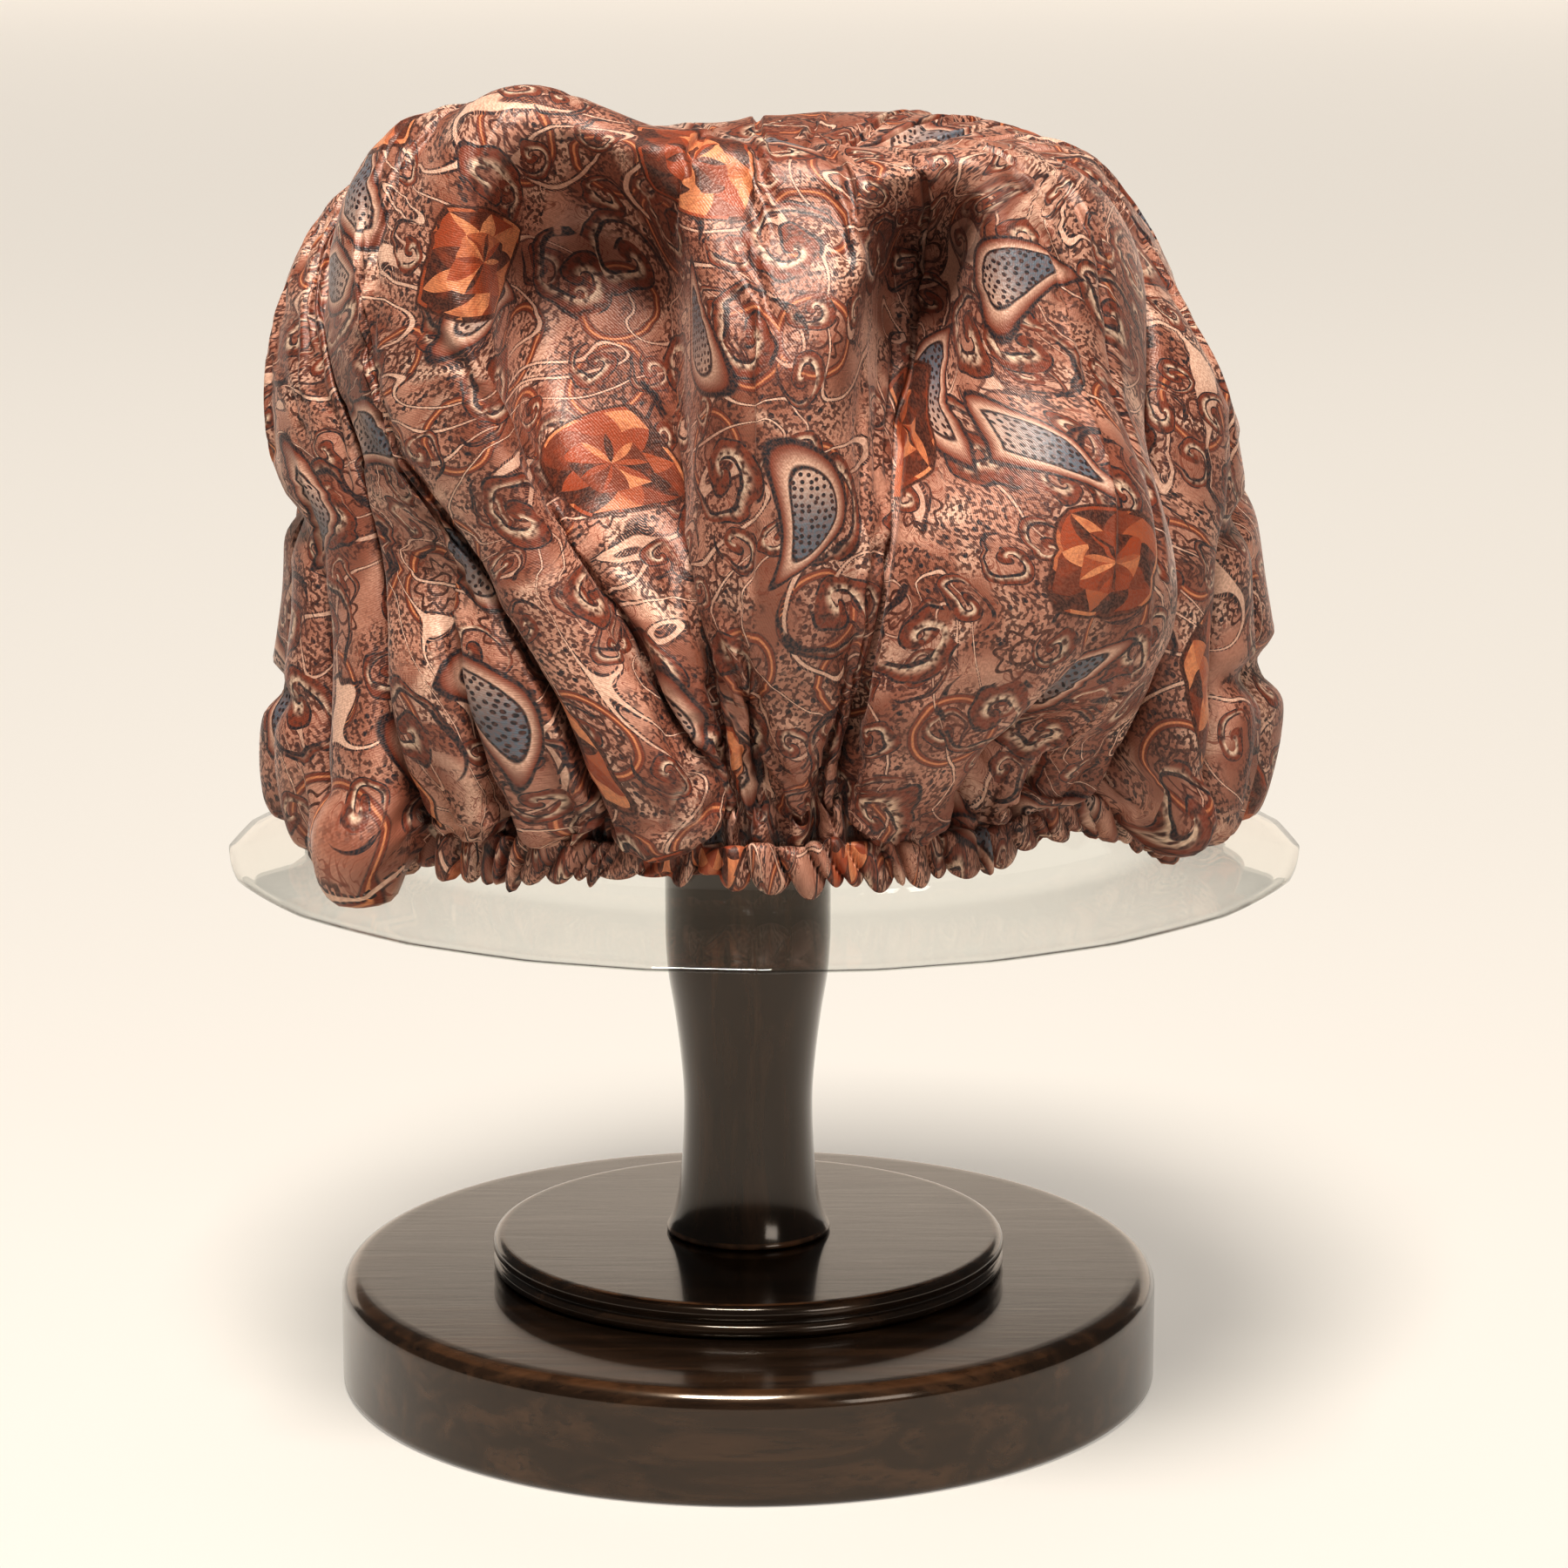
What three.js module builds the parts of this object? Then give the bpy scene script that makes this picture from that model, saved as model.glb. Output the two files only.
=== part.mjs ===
import * as THREE from 'three';

// A silk sleep bonnet on the stand that holds it: a turned wooden base and post,
// with a clear former that fills the bonnet. Millimetres, +Z up, the front faces -Y,
// and the origin is the middle of the base's underside.

// Gap between two pieces that touch on the real object.
const SEAT_GAP = 0.3;

// Wooden stand
const BASE_RADIUS = 100;
const BASE_HEIGHT = 27;
const BASE_EDGE_ROUND = 4.4;
const TIER_BOTTOM = BASE_HEIGHT + SEAT_GAP;
const TIER_TOP = 35.3;
const TIER_FLAT_RADIUS = 60.6;
const TIER_BEAD_RADIUS = 62.8;
const TIER_GROOVE_RADIUS = 61.2;
const POST_FOOT = TIER_TOP + SEAT_GAP;
const POST_SHAFT_RADIUS = 20.1;
const POST_TOP_CHAMFER = 2;
const STAND_SIDES = 60;
const POST_SIDES = 36;

// Waisted lower part of the post.
const POST_WAIST = [
  { height: 36.4, radius: 20.1 },
  { height: 40, radius: 18.5 },
  { height: 46, radius: 17.1 },
  { height: 56, radius: 16.1 },
  { height: 69, radius: 15.7 },
  { height: 80, radius: 16.5 },
  { height: 91, radius: 17.9 },
  { height: 101, radius: 19.5 },
  { height: 110, radius: POST_SHAFT_RADIUS },
];

// Clear former: a thin domed wall with a flared brim, open below. It and the bonnet
// stand a little to the right of the post's axis.
const FORMER_SHIFT_X = 4;
const FORMER_WALL = 0.9;
const FORMER_SIDES = 48;
const BRIM_RADIUS = 129.2;
const BRIM_EDGE_HEIGHT = 132.8;
const BRIM_INNER_RADIUS = 101;
const BRIM_INNER_HEIGHT = 140;
const DOME = [
  { radius: 99.4, height: 142 },
  { radius: 98.4, height: 152 },
  { radius: 96.3, height: 173 },
  { radius: 93, height: 197 },
  { radius: 88, height: 222 },
  { radius: 80, height: 245 },
  { radius: 68.5, height: 265.5 },
  { radius: 53, height: 279.5 },
  { radius: 34, height: 287.5 },
  { radius: 14, height: 290.6 },
  { radius: 0, height: 291 },
];

// Silk crown: a wall of cloth whose smooth outline is swept round the former and then
// folded. The outline has one section for the front and one for the sides and back,
// where the cloth hangs over the hem and lies on the brim.
const CLOTH = 1.2;
const DOME_CLEARANCE = 2;
const DOME_SOFTNESS = 8;
const CROWN_SECTIONS = [
  { level: 0.00, frontRadius: 0, frontHeight: 293, sideRadius: 0, sideHeight: 293 },
  { level: 0.08, frontRadius: 28, frontHeight: 295.5, sideRadius: 28, sideHeight: 295.5 },
  { level: 0.18, frontRadius: 62, frontHeight: 303, sideRadius: 62, sideHeight: 302 },
  { level: 0.27, frontRadius: 93, frontHeight: 299.5, sideRadius: 88, sideHeight: 297 },
  { level: 0.36, frontRadius: 108, frontHeight: 282, sideRadius: 106, sideHeight: 279 },
  { level: 0.47, frontRadius: 117, frontHeight: 254, sideRadius: 117, sideHeight: 252 },
  { level: 0.60, frontRadius: 122, frontHeight: 221, sideRadius: 120, sideHeight: 221 },
  { level: 0.73, frontRadius: 120.5, frontHeight: 190, sideRadius: 121, sideHeight: 190 },
  { level: 0.83, frontRadius: 114, frontHeight: 171, sideRadius: 122, sideHeight: 167 },
  { level: 0.89, frontRadius: 109.5, frontHeight: 163, sideRadius: 121, sideHeight: 153 },
  { level: 0.94, frontRadius: 108.3, frontHeight: 159.5, sideRadius: 117, sideHeight: 144.2 },
  { level: 0.97, frontRadius: 106, frontHeight: 157, sideRadius: 111, sideHeight: 144.6 },
  { level: 1.00, frontRadius: 103.6, frontHeight: 154.4, sideRadius: 104.2, sideHeight: 149.4 },
];

// Azimuths, in degrees from the front towards +X, where the front section turns into
// the side one.
const SIDE_BLEND = { leftFrom: -40, leftTo: -50, rightFrom: 36, rightTo: 62 };

// Folds that run down to the gathered hem. azimuth, depth and width are given where
// the fold passes levels 0.25, 0.5, 0.75 and 1, and depth and width are millimetres.
const FOLD_LEVELS = [0.25, 0.5, 0.75, 1];
const FOLDS = [
  { azimuth: [-82, -60, -50, -45], start: 0.14, depth: [6, 13, 16, 14], width: [12, 8, 7, 6] },
  { azimuth: [-60, -48, -38, -33], start: 0.62, depth: [0, 0, 10, 13], width: [6, 6, 5, 5] },
  { azimuth: [-52, -47, -27, -20.5], start: 0.5, depth: [0, 5, 18, 15], width: [8, 8, 7, 6] },
  { azimuth: [-36, -31, -14, -5], start: 0.44, depth: [0, 12, 20, 15], width: [10, 9, 7, 5] },
  { azimuth: [-11, -8.8, -5.6, -1.8], start: 0.24, depth: [3, 10, 15, 13], width: [12, 7, 6, 4] },
  { azimuth: [0, 0, -0.3, 2.5], start: 0.7, depth: [0, 0, 10, 13], width: [5, 5, 5, 5] },
  { azimuth: [12, 11, 9.5, 6.5], start: 0.72, depth: [0, 0, 6, 12], width: [5, 5, 5, 5] },
  { azimuth: [24, 17, 12.8, 11.4], start: 0.2, depth: [6, 13, 17, 15], width: [10, 7, 6, 5] },
  { azimuth: [36, 34, 29.5, 23], start: 0.68, depth: [0, 0, 20, 17], width: [6, 6, 10, 7] },
  { azimuth: [44, 42, 38.5, 33], start: 0.8, depth: [0, 0, 5, 12], width: [6, 6, 6, 5] },
  { azimuth: [66, 51, 49, 44], start: 0.16, depth: [10, 16, 15, 14], width: [9, 7, 6, 6] },
  { azimuth: [76, 68, 62, 58], start: 0.55, depth: [0, 2, 10, 12], width: [9, 8, 7, 6] },
  { azimuth: [90, 84, 78, 74], start: 0.3, depth: [2, 10, 11, 12], width: [9, 8, 7, 6] },
  { azimuth: [102, 99, 95, 92], start: 0.62, depth: [0, 0, 10, 12], width: [9, 8, 6, 5] },
  { azimuth: [118, 115, 112, 110], start: 0.22, depth: [6, 12, 12, 13], width: [12, 9, 7, 6] },
  { azimuth: [133, 131, 128, 127], start: 0.66, depth: [0, 0, 10, 12], width: [9, 8, 6, 5] },
  { azimuth: [147, 147, 145, 144], start: 0.3, depth: [4, 10, 13, 12], width: [12, 9, 7, 6] },
  { azimuth: [163, 163, 161, 160], start: 0.6, depth: [0, 2, 11, 13], width: [9, 8, 6, 5] },
  { azimuth: [181, 178, 177, 177], start: 0.22, depth: [7, 14, 14, 13], width: [14, 9, 7, 6] },
  { azimuth: [197, 196, 194, 193], start: 0.64, depth: [0, 0, 11, 12], width: [9, 8, 6, 5] },
  { azimuth: [213, 212, 210, 209], start: 0.32, depth: [3, 10, 12, 13], width: [10, 9, 7, 6] },
  { azimuth: [229, 228, 226, 225], start: 0.66, depth: [0, 0, 10, 12], width: [9, 8, 6, 5] },
  { azimuth: [245, 243, 241, 241], start: 0.2, depth: [7, 12, 12, 13], width: [12, 9, 7, 6] },
  { azimuth: [258, 258, 256, 256], start: 0.6, depth: [0, 0, 10, 12], width: [9, 8, 6, 5] },
  { azimuth: [268, 271, 270, 271], start: 0.36, depth: [2, 7, 10, 12], width: [9, 8, 7, 6] },
  { azimuth: [273, 283, 285, 288], start: 0.55, depth: [0, 2, 10, 13], width: [9, 8, 6, 5] },
  { azimuth: [276, 292, 299, 303], start: 0.6, depth: [0, 0, 10, 13], width: [6, 6, 6, 5] },
];

// Rounded hollows, and swells where depth is below 0, each an oval turned by tilt
// degrees and measured over the cloth. above and below are how far it reaches up and
// down. backShare is 0 where the cloth moves along its normal and 1 where it moves
// straight back, which leaves a brow of cloth over a hollow.
const HOLLOWS = [
  { azimuth: -19, level: 0.425, halfWidth: 22.5, above: 49, below: 68, tilt: 12, depth: 38, backShare: 1 },
  { azimuth: 19, level: 0.41, halfWidth: 14.5, above: 40, below: 42, tilt: -12, depth: 36, backShare: 1 },
  { azimuth: 1, level: 0.27, halfWidth: 24, above: 26, below: 30, tilt: 0, depth: 12, backShare: 1 },
  { azimuth: -22, level: 0.245, halfWidth: 40, above: 20, below: 16, tilt: 0, depth: -10.5, backShare: 0.5 },
  { azimuth: 22, level: 0.25, halfWidth: 30, above: 18, below: 14, tilt: 0, depth: -11, backShare: 0.8 },
  { azimuth: -50, level: 0.3, halfWidth: 32, above: 34, below: 34, tilt: 0, depth: -5, backShare: 0 },
  { azimuth: -57, level: 0.22, halfWidth: 40, above: 26, below: 30, tilt: 0, depth: -8, backShare: 0 },
  { azimuth: -80, level: 0.36, halfWidth: 42, above: 40, below: 40, tilt: 0, depth: -4.5, backShare: 0 },
  { azimuth: 88, level: 0.4, halfWidth: 46, above: 46, below: 46, tilt: 0, depth: 10, backShare: 0 },
  { azimuth: -98, level: 0.74, halfWidth: 70, above: 60, below: 60, tilt: 0, depth: 5, backShare: 0 },
  { azimuth: 33, level: 0.68, halfWidth: 30, above: 58, below: 36, tilt: 0, depth: -12, backShare: 0 },
  { azimuth: 40, level: 0.3, halfWidth: 26, above: 30, below: 30, tilt: 0, depth: -4, backShare: 0 },
  { azimuth: -14, level: 0.6, halfWidth: 12, above: 30, below: 30, tilt: -14, depth: 8, backShare: 0 },
  { azimuth: -40, level: 0.62, halfWidth: 20, above: 22, below: 22, tilt: -30, depth: 5, backShare: 0 },
  { azimuth: 150, level: 0.2, halfWidth: 40, above: 26, below: 26, tilt: 0, depth: -3, backShare: 0 },
  { azimuth: -57, level: 0.945, halfWidth: 17, above: 20, below: 20, tilt: 0, depth: -8.5, backShare: 0 },
  { azimuth: 63, level: 0.945, halfWidth: 11, above: 18, below: 18, tilt: 0, depth: -6, backShare: 0 },
  { azimuth: 86, level: 0.6, halfWidth: 45, above: 8, below: 8, tilt: 10, depth: 5, backShare: 0 },
  { azimuth: -86, level: 0.6, halfWidth: 45, above: 8, below: 8, tilt: -8, depth: 6, backShare: 0 },
  { azimuth: -84, level: 0.8, halfWidth: 40, above: 7, below: 7, tilt: 6, depth: 4, backShare: 0 },
  { azimuth: 84, level: 0.78, halfWidth: 45, above: 7, below: 7, tilt: -6, depth: 5, backShare: 0 },
];
const CLOTH_LENGTH = 300;
const STEEP_ABOVE = 2.5;
const STEEP_BELOW = 1.2;
const LOBE_ROUNDNESS = 0.4;
const SHOULDER_SHARE = 0.45;
const SHOULDER_REACH = 3;
const LEAST_RADIUS = 60;
const COLUMNS_PER_FOLD = 4;
const CROWN_LEVELS = [
  0.07, 0.16, 0.23, 0.29, 0.35, 0.41, 0.48, 0.55, 0.62, 0.69, 0.76, 0.82, 0.87, 0.91, 0.94, 0.97, 1,
];

// Gathered casing of the elastic: a flattened ring that grips the former. lift is how
// far it stands above the brim at an azimuth.
const CASING_BOTTOM = 139.8;
const CASING_HEIGHT = 9;
const CASING_HALF_WIDTH = 2.9;
const CASING_RADIUS = 103.2;
const CASING_SECTION_POINTS = 6;
const HEM_LIFT = [
  { azimuth: -180, lift: 0 },
  { azimuth: -60, lift: 0 },
  { azimuth: -48, lift: 0.8 },
  { azimuth: -38, lift: 2.8 },
  { azimuth: -20, lift: 4.6 },
  { azimuth: 0, lift: 5.2 },
  { azimuth: 28, lift: 5.6 },
  { azimuth: 40, lift: 10 },
  { azimuth: 48, lift: 9 },
  { azimuth: 62, lift: 1 },
  { azimuth: 74, lift: 0 },
  { azimuth: 180, lift: 0 },
];
const FRONT_LIFT = 5.2;

const WOOD = new THREE.MeshStandardMaterial({ color: 0x2f2118, roughness: 0.28, metalness: 0 });
const CLEAR_PLASTIC = new THREE.MeshStandardMaterial({
  color: 0xeef0ec, roughness: 0.06, metalness: 0, transparent: true, opacity: 0.25,
});
const SILK = new THREE.MeshStandardMaterial({ color: 0xa9745c, roughness: 0.45, metalness: 0 });

function namedMesh(name, geometry, material) {
  const mesh = new THREE.Mesh(geometry, material);
  mesh.name = name;
  return mesh;
}

// Turned solid round the Z axis from a profile of [radius, height] pairs that runs
// from the axis at the bottom to the axis at the top, or closes on itself.
function turned(profile, sides) {
  const points = profile.map(([radius, height]) => new THREE.Vector2(radius, height));
  return new THREE.LatheGeometry(points, sides).rotateX(Math.PI / 2);
}

// Points of a quarter circle, from one angle to the other in degrees.
function arc(centre, radius, from, to, steps) {
  const points = [];
  for (let step = 0; step <= steps; step += 1) {
    const angle = THREE.MathUtils.degToRad(from + ((to - from) * step) / steps);
    points.push([centre[0] + radius * Math.cos(angle), centre[1] + radius * Math.sin(angle)]);
  }
  return points;
}

function basePlate() {
  const lowEdge = 1;
  const round = BASE_EDGE_ROUND;
  return turned([
    [0, 0],
    [BASE_RADIUS - lowEdge, 0],
    [BASE_RADIUS, lowEdge],
    ...arc([BASE_RADIUS - round, BASE_HEIGHT - round], round, 0, 90, 5),
    [0, BASE_HEIGHT],
  ], STAND_SIDES);
}

// Raised disc with a bead, a groove and a smaller foot bead round its edge.
function baseTier() {
  const beadRound = TIER_BEAD_RADIUS - TIER_FLAT_RADIUS;
  const footRound = (TIER_TOP - 2 * beadRound - TIER_BOTTOM) / 2;
  return turned([
    [0, TIER_BOTTOM],
    [TIER_BEAD_RADIUS - footRound, TIER_BOTTOM],
    ...arc([TIER_BEAD_RADIUS - footRound, TIER_BOTTOM + footRound], footRound, -60, 60, 4),
    [TIER_GROOVE_RADIUS, TIER_BOTTOM + 2 * footRound],
    ...arc([TIER_FLAT_RADIUS, TIER_TOP - beadRound], beadRound, -60, 90, 6),
    [0, TIER_TOP],
  ], STAND_SIDES);
}

// The post's flat top carries the former where the dome is as wide as the shaft.
function post() {
  const carried = lookUp([...DOME].reverse(), 'radius', POST_SHAFT_RADIUS + FORMER_SHIFT_X, 'height');
  const top = carried - FORMER_WALL - SEAT_GAP;
  return turned([
    [0, POST_FOOT],
    [POST_WAIST[0].radius, POST_FOOT],
    ...POST_WAIST.map(({ height, radius }) => [radius, height]),
    [POST_SHAFT_RADIUS, top - POST_TOP_CHAMFER],
    [POST_SHAFT_RADIUS - POST_TOP_CHAMFER, top],
    [0, top],
  ], POST_SIDES);
}

// The former's underside is its outer face moved inwards by the wall.
function former() {
  const brim = [
    { radius: BRIM_RADIUS, height: BRIM_EDGE_HEIGHT },
    { radius: (BRIM_RADIUS + BRIM_INNER_RADIUS) / 2, height: (BRIM_EDGE_HEIGHT + BRIM_INNER_HEIGHT) / 2 },
    { radius: BRIM_INNER_RADIUS, height: BRIM_INNER_HEIGHT },
  ];
  const face = [...brim, ...DOME].map(({ radius, height }) => new THREE.Vector2(radius, height));
  const inside = face.map((point, index) => {
    const before = face[Math.max(index - 1, 0)];
    const after = face[Math.min(index + 1, face.length - 1)];
    const along = after.clone().sub(before).normalize();
    const inner = new THREE.Vector2(-along.y, along.x).multiplyScalar(FORMER_WALL).add(point);
    return inner;
  });
  inside[inside.length - 1].x = 0;
  const profile = [...inside.reverse(), ...face].map((point) => [point.x, point.y]);
  return turned(profile, FORMER_SIDES);
}

function smoothStep(from, to, value) {
  const x = THREE.MathUtils.clamp((value - from) / (to - from), 0, 1);
  return x * x * (3 - 2 * x);
}

// Catmull-Rom curve through evenly spaced values; place counts from the first one.
function curveThrough(values, place) {
  const last = values.length - 1;
  const x = THREE.MathUtils.clamp(place, 0, last);
  const index = Math.min(Math.floor(x), last - 1);
  const before = values[Math.max(index - 1, 0)];
  const start = values[index];
  const end = values[index + 1];
  const after = values[Math.min(index + 2, last)];
  const t = x - index;
  const bend = 2 * before - 5 * start + 4 * end - after;
  const twist = 3 * (start - end) + after - before;
  return start + 0.5 * t * (end - before + t * (bend + t * twist));
}

function turnedIn(degrees) {
  return THREE.MathUtils.euclideanModulo(degrees + 180, 360) - 180;
}

// Straight lines between the rows of a table.
function lookUp(rows, key, at, column) {
  const next = Math.min(Math.max(rows.findIndex((row) => row[key] >= at), 1), rows.length - 1);
  const [low, high] = [rows[next - 1], rows[next]];
  const share = THREE.MathUtils.clamp((at - low[key]) / (high[key] - low[key]), 0, 1);
  return THREE.MathUtils.lerp(low[column], high[column], share);
}

function hemLift(azimuth) {
  return lookUp(HEM_LIFT, 'azimuth', turnedIn(azimuth), 'lift');
}

// 0 in front, and 1 at the sides and back.
function sideShare(azimuth) {
  const a = turnedIn(azimuth);
  const left = smoothStep(-SIDE_BLEND.leftFrom, -SIDE_BLEND.leftTo, -a);
  const right = smoothStep(SIDE_BLEND.rightFrom, SIDE_BLEND.rightTo, a);
  return Math.max(left, right);
}

// Radius and height of the crown's smooth outline.
function outline(level, side) {
  const at = THREE.MathUtils.clamp(level, 0, 1);
  const found = CROWN_SECTIONS.findIndex((row) => row.level > at);
  const next = found < 0 ? CROWN_SECTIONS.length - 1 : found;
  const low = CROWN_SECTIONS[next - 1];
  const place = next - 1 + (at - low.level) / (CROWN_SECTIONS[next].level - low.level);
  const read = (column) => curveThrough(CROWN_SECTIONS.map((row) => row[column]), place);
  return new THREE.Vector2(
    THREE.MathUtils.lerp(read('frontRadius'), read('sideRadius'), side),
    THREE.MathUtils.lerp(read('frontHeight'), read('sideHeight'), side),
  );
}

function foldValue(values, level) {
  const spacing = FOLD_LEVELS[1] - FOLD_LEVELS[0];
  return curveThrough(values, (level - FOLD_LEVELS[0]) / spacing);
}

function foldDepth(fold, level) {
  const depth = Math.max(foldValue(fold.depth, level), 0);
  return depth * smoothStep(fold.start - 0.07, fold.start + 0.12, level);
}

// How far a fold draws the cloth in: a crease, sharp where it is narrow, between two
// shoulders that round the cloth beside it.
function foldInwards(fold, azimuth, level, radius) {
  const width = Math.max(foldValue(fold.width, level), 2);
  const away = Math.abs(turnedIn(azimuth - foldValue(fold.azimuth, level)));
  const distance = THREE.MathUtils.degToRad(away) * radius;
  const power = 1 + THREE.MathUtils.clamp((width - 7) / 7, 0, 1);
  const crease = Math.exp(-((distance / width) ** power));
  const shoulder = Math.exp(-((distance / (SHOULDER_REACH * width)) ** 2));
  const share = SHOULDER_SHARE * smoothStep(0.95, 0.65, level);
  return foldDepth(fold, level) * THREE.MathUtils.lerp(crease, shoulder, share);
}

function hollowDepth(hollow, azimuth, level, radius) {
  const across = THREE.MathUtils.degToRad(turnedIn(azimuth - hollow.azimuth)) * radius;
  const up = (hollow.level - level) * CLOTH_LENGTH;
  const tilt = THREE.MathUtils.degToRad(hollow.tilt);
  const u = (across * Math.cos(tilt) + up * Math.sin(tilt)) / hollow.halfWidth;
  const rise = up * Math.cos(tilt) - across * Math.sin(tilt);
  const v = rise / (rise > 0 ? hollow.above : hollow.below);
  const steepness = THREE.MathUtils.lerp(STEEP_BELOW, STEEP_ABOVE, smoothStep(-0.8, 0.2, v));
  return hollow.depth * Math.exp(-((u * u + v * v) ** steepness));
}

// How far the cloth rounds out between two folds that both go deep.
function lobeSwell(azimuth, level) {
  for (const [number, fold] of FOLDS.entries()) {
    const following = FOLDS[(number + 1) % FOLDS.length];
    const start = foldValue(fold.azimuth, level);
    const span = THREE.MathUtils.euclideanModulo(foldValue(following.azimuth, level) - start, 360);
    const share = THREE.MathUtils.euclideanModulo(azimuth - start, 360) / span;
    const depth = Math.min(foldDepth(fold, level), foldDepth(following, level));
    if (share < 1) return LOBE_ROUNDNESS * depth * 4 * share * (1 - share);
  }
  return 0;
}

// Least radius of the crown's outer face at a height, which keeps its wall off the dome.
function clearRadius(height) {
  const dome = height > DOME[DOME.length - 1].height ? 0 : lookUp(DOME, 'height', height, 'radius');
  return dome + CLOTH + DOME_CLEARANCE;
}

// Outer face of the crown.
function crownPoint(azimuth, level) {
  const side = sideShare(azimuth);
  const here = outline(level, side);
  const along = outline(level + 0.001, side).sub(outline(level - 0.001, side)).normalize();
  const radius = Math.max(here.x, LEAST_RADIUS);
  let inwards = -lobeSwell(azimuth, level);
  let back = 0;
  for (const fold of FOLDS) inwards += foldInwards(fold, azimuth, level, radius);
  for (const hollow of HOLLOWS) {
    const depth = hollowDepth(hollow, azimuth, level, radius);
    inwards += depth * (1 - hollow.backShare);
    back += depth * hollow.backShare;
  }
  const fade = smoothStep(0, 0.12, level) * (1 - smoothStep(0.93, 1, level));
  const lift = (hemLift(azimuth) - FRONT_LIFT * (1 - side)) * smoothStep(0.6, 1, level);
  const height = here.y - inwards * fade * along.x + lift;
  const reach = here.x + inwards * along.y * fade;
  const angle = THREE.MathUtils.degToRad(azimuth);
  const place = new THREE.Vector2(reach * Math.sin(angle), back * fade - reach * Math.cos(angle));
  const least = clearRadius(height) * smoothStep(0, 0.3, level);
  const soft = DOME_SOFTNESS * smoothStep(0, 0.3, level) * smoothStep(0.95, 0.8, level);
  const spare = place.length() - least;
  place.setLength(least + (spare + Math.hypot(spare, soft)) / 2);
  return new THREE.Vector3(place.x, place.y, height);
}

// The mesh's columns follow the folds, so each crease lies on one.
function columnAzimuth(column, level) {
  const fold = Math.floor(column / COLUMNS_PER_FOLD);
  const share = (column % COLUMNS_PER_FOLD) / COLUMNS_PER_FOLD;
  const start = foldValue(FOLDS[fold].azimuth, level);
  const isLast = fold === FOLDS.length - 1;
  const end = foldValue(FOLDS[(fold + 1) % FOLDS.length].azimuth, level) + (isLast ? 360 : 0);
  return THREE.MathUtils.lerp(start, end, share);
}

// Closed wall from rings of points, outer face first and then back over the inner
// face. A ring that is one point closes the wall there.
function wallFromRings(rings) {
  const columns = Math.max(...rings.map((ring) => ring.length));
  const starts = [];
  const positions = [];
  for (const ring of rings) {
    starts.push(positions.length / 3);
    for (const point of ring) positions.push(point.x, point.y, point.z);
  }
  const index = [];
  const vertex = (ring, column) => starts[ring] + (rings[ring].length === 1 ? 0 : column % columns);
  const lastRing = rings[rings.length - 1];
  const closesOnItself = rings[0].length > 1 && lastRing.length > 1;
  const bands = closesOnItself ? rings.length : rings.length - 1;
  for (let band = 0; band < bands; band += 1) {
    const next = (band + 1) % rings.length;
    for (let column = 0; column < columns; column += 1) {
      const [a, b] = [vertex(band, column), vertex(band, column + 1)];
      const [c, d] = [vertex(next, column), vertex(next, column + 1)];
      if (a !== b) index.push(a, c, b);
      if (c !== d) index.push(b, c, d);
    }
  }
  const geometry = new THREE.BufferGeometry();
  geometry.setAttribute('position', new THREE.Float32BufferAttribute(positions, 3));
  geometry.setIndex(index);
  return geometry;
}

function crown() {
  const columns = FOLDS.length * COLUMNS_PER_FOLD;
  const outer = CROWN_LEVELS.map((level) => {
    const ring = [];
    for (let column = 0; column < columns; column += 1) {
      ring.push(crownPoint(columnAzimuth(column, level), level));
    }
    return ring;
  });
  const inner = outer.map((ring, row) => ring.map((point, column) => {
    const above = outer[Math.max(row - 1, 0)][column];
    const below = outer[Math.min(row + 1, outer.length - 1)][column];
    const before = ring[(column + columns - 1) % columns];
    const after = ring[(column + 1) % columns];
    const downwards = below.clone().sub(above);
    const inwards = after.clone().sub(before).cross(downwards).normalize();
    return point.clone().addScaledVector(inwards, CLOTH);
  }));
  const middle = crownPoint(0, 0);
  const middleInside = middle.clone().setZ(middle.z - CLOTH);
  return wallFromRings([[middle], ...outer, ...inner.reverse(), [middleInside]]);
}

// Each ring of the casing is one point of its oval section, taken round the hem.
function casing() {
  const columns = FOLDS.length * COLUMNS_PER_FOLD;
  const rings = [];
  for (let step = 0; step < CASING_SECTION_POINTS; step += 1) {
    const turn = (2 * Math.PI * (step + 0.5)) / CASING_SECTION_POINTS;
    const out = Math.sign(Math.cos(turn)) * Math.abs(Math.cos(turn)) ** 0.6 * CASING_HALF_WIDTH;
    const up = (Math.sin(-turn) * CASING_HEIGHT) / 2;
    const ring = [];
    for (let column = 0; column < columns; column += 1) {
      const azimuth = columnAzimuth(column, 1);
      const angle = THREE.MathUtils.degToRad(azimuth);
      const radius = CASING_RADIUS + out;
      const height = CASING_BOTTOM + CASING_HEIGHT / 2 + up + hemLift(azimuth);
      ring.push(new THREE.Vector3(radius * Math.sin(angle), -radius * Math.cos(angle), height));
    }
    rings.push(ring);
  }
  return wallFromRings(rings);
}

const stand = new THREE.Group();
stand.add(
  namedMesh('base_plate', basePlate(), WOOD),
  namedMesh('base_tier', baseTier(), WOOD),
  namedMesh('post', post(), WOOD),
);

const dressedFormer = new THREE.Group();
dressedFormer.position.x = FORMER_SHIFT_X;
dressedFormer.add(
  namedMesh('clear_former', former(), CLEAR_PLASTIC),
  namedMesh('silk_crown', crown(), SILK),
  namedMesh('hem_casing', casing(), SILK),
);

const group = new THREE.Group();
group.add(stand, dressedFormer);

export default group;
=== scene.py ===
"""Looks of a silk sleep bonnet on its wooden stand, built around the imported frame. Metres, +Z up."""

import math
from collections import namedtuple

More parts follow.
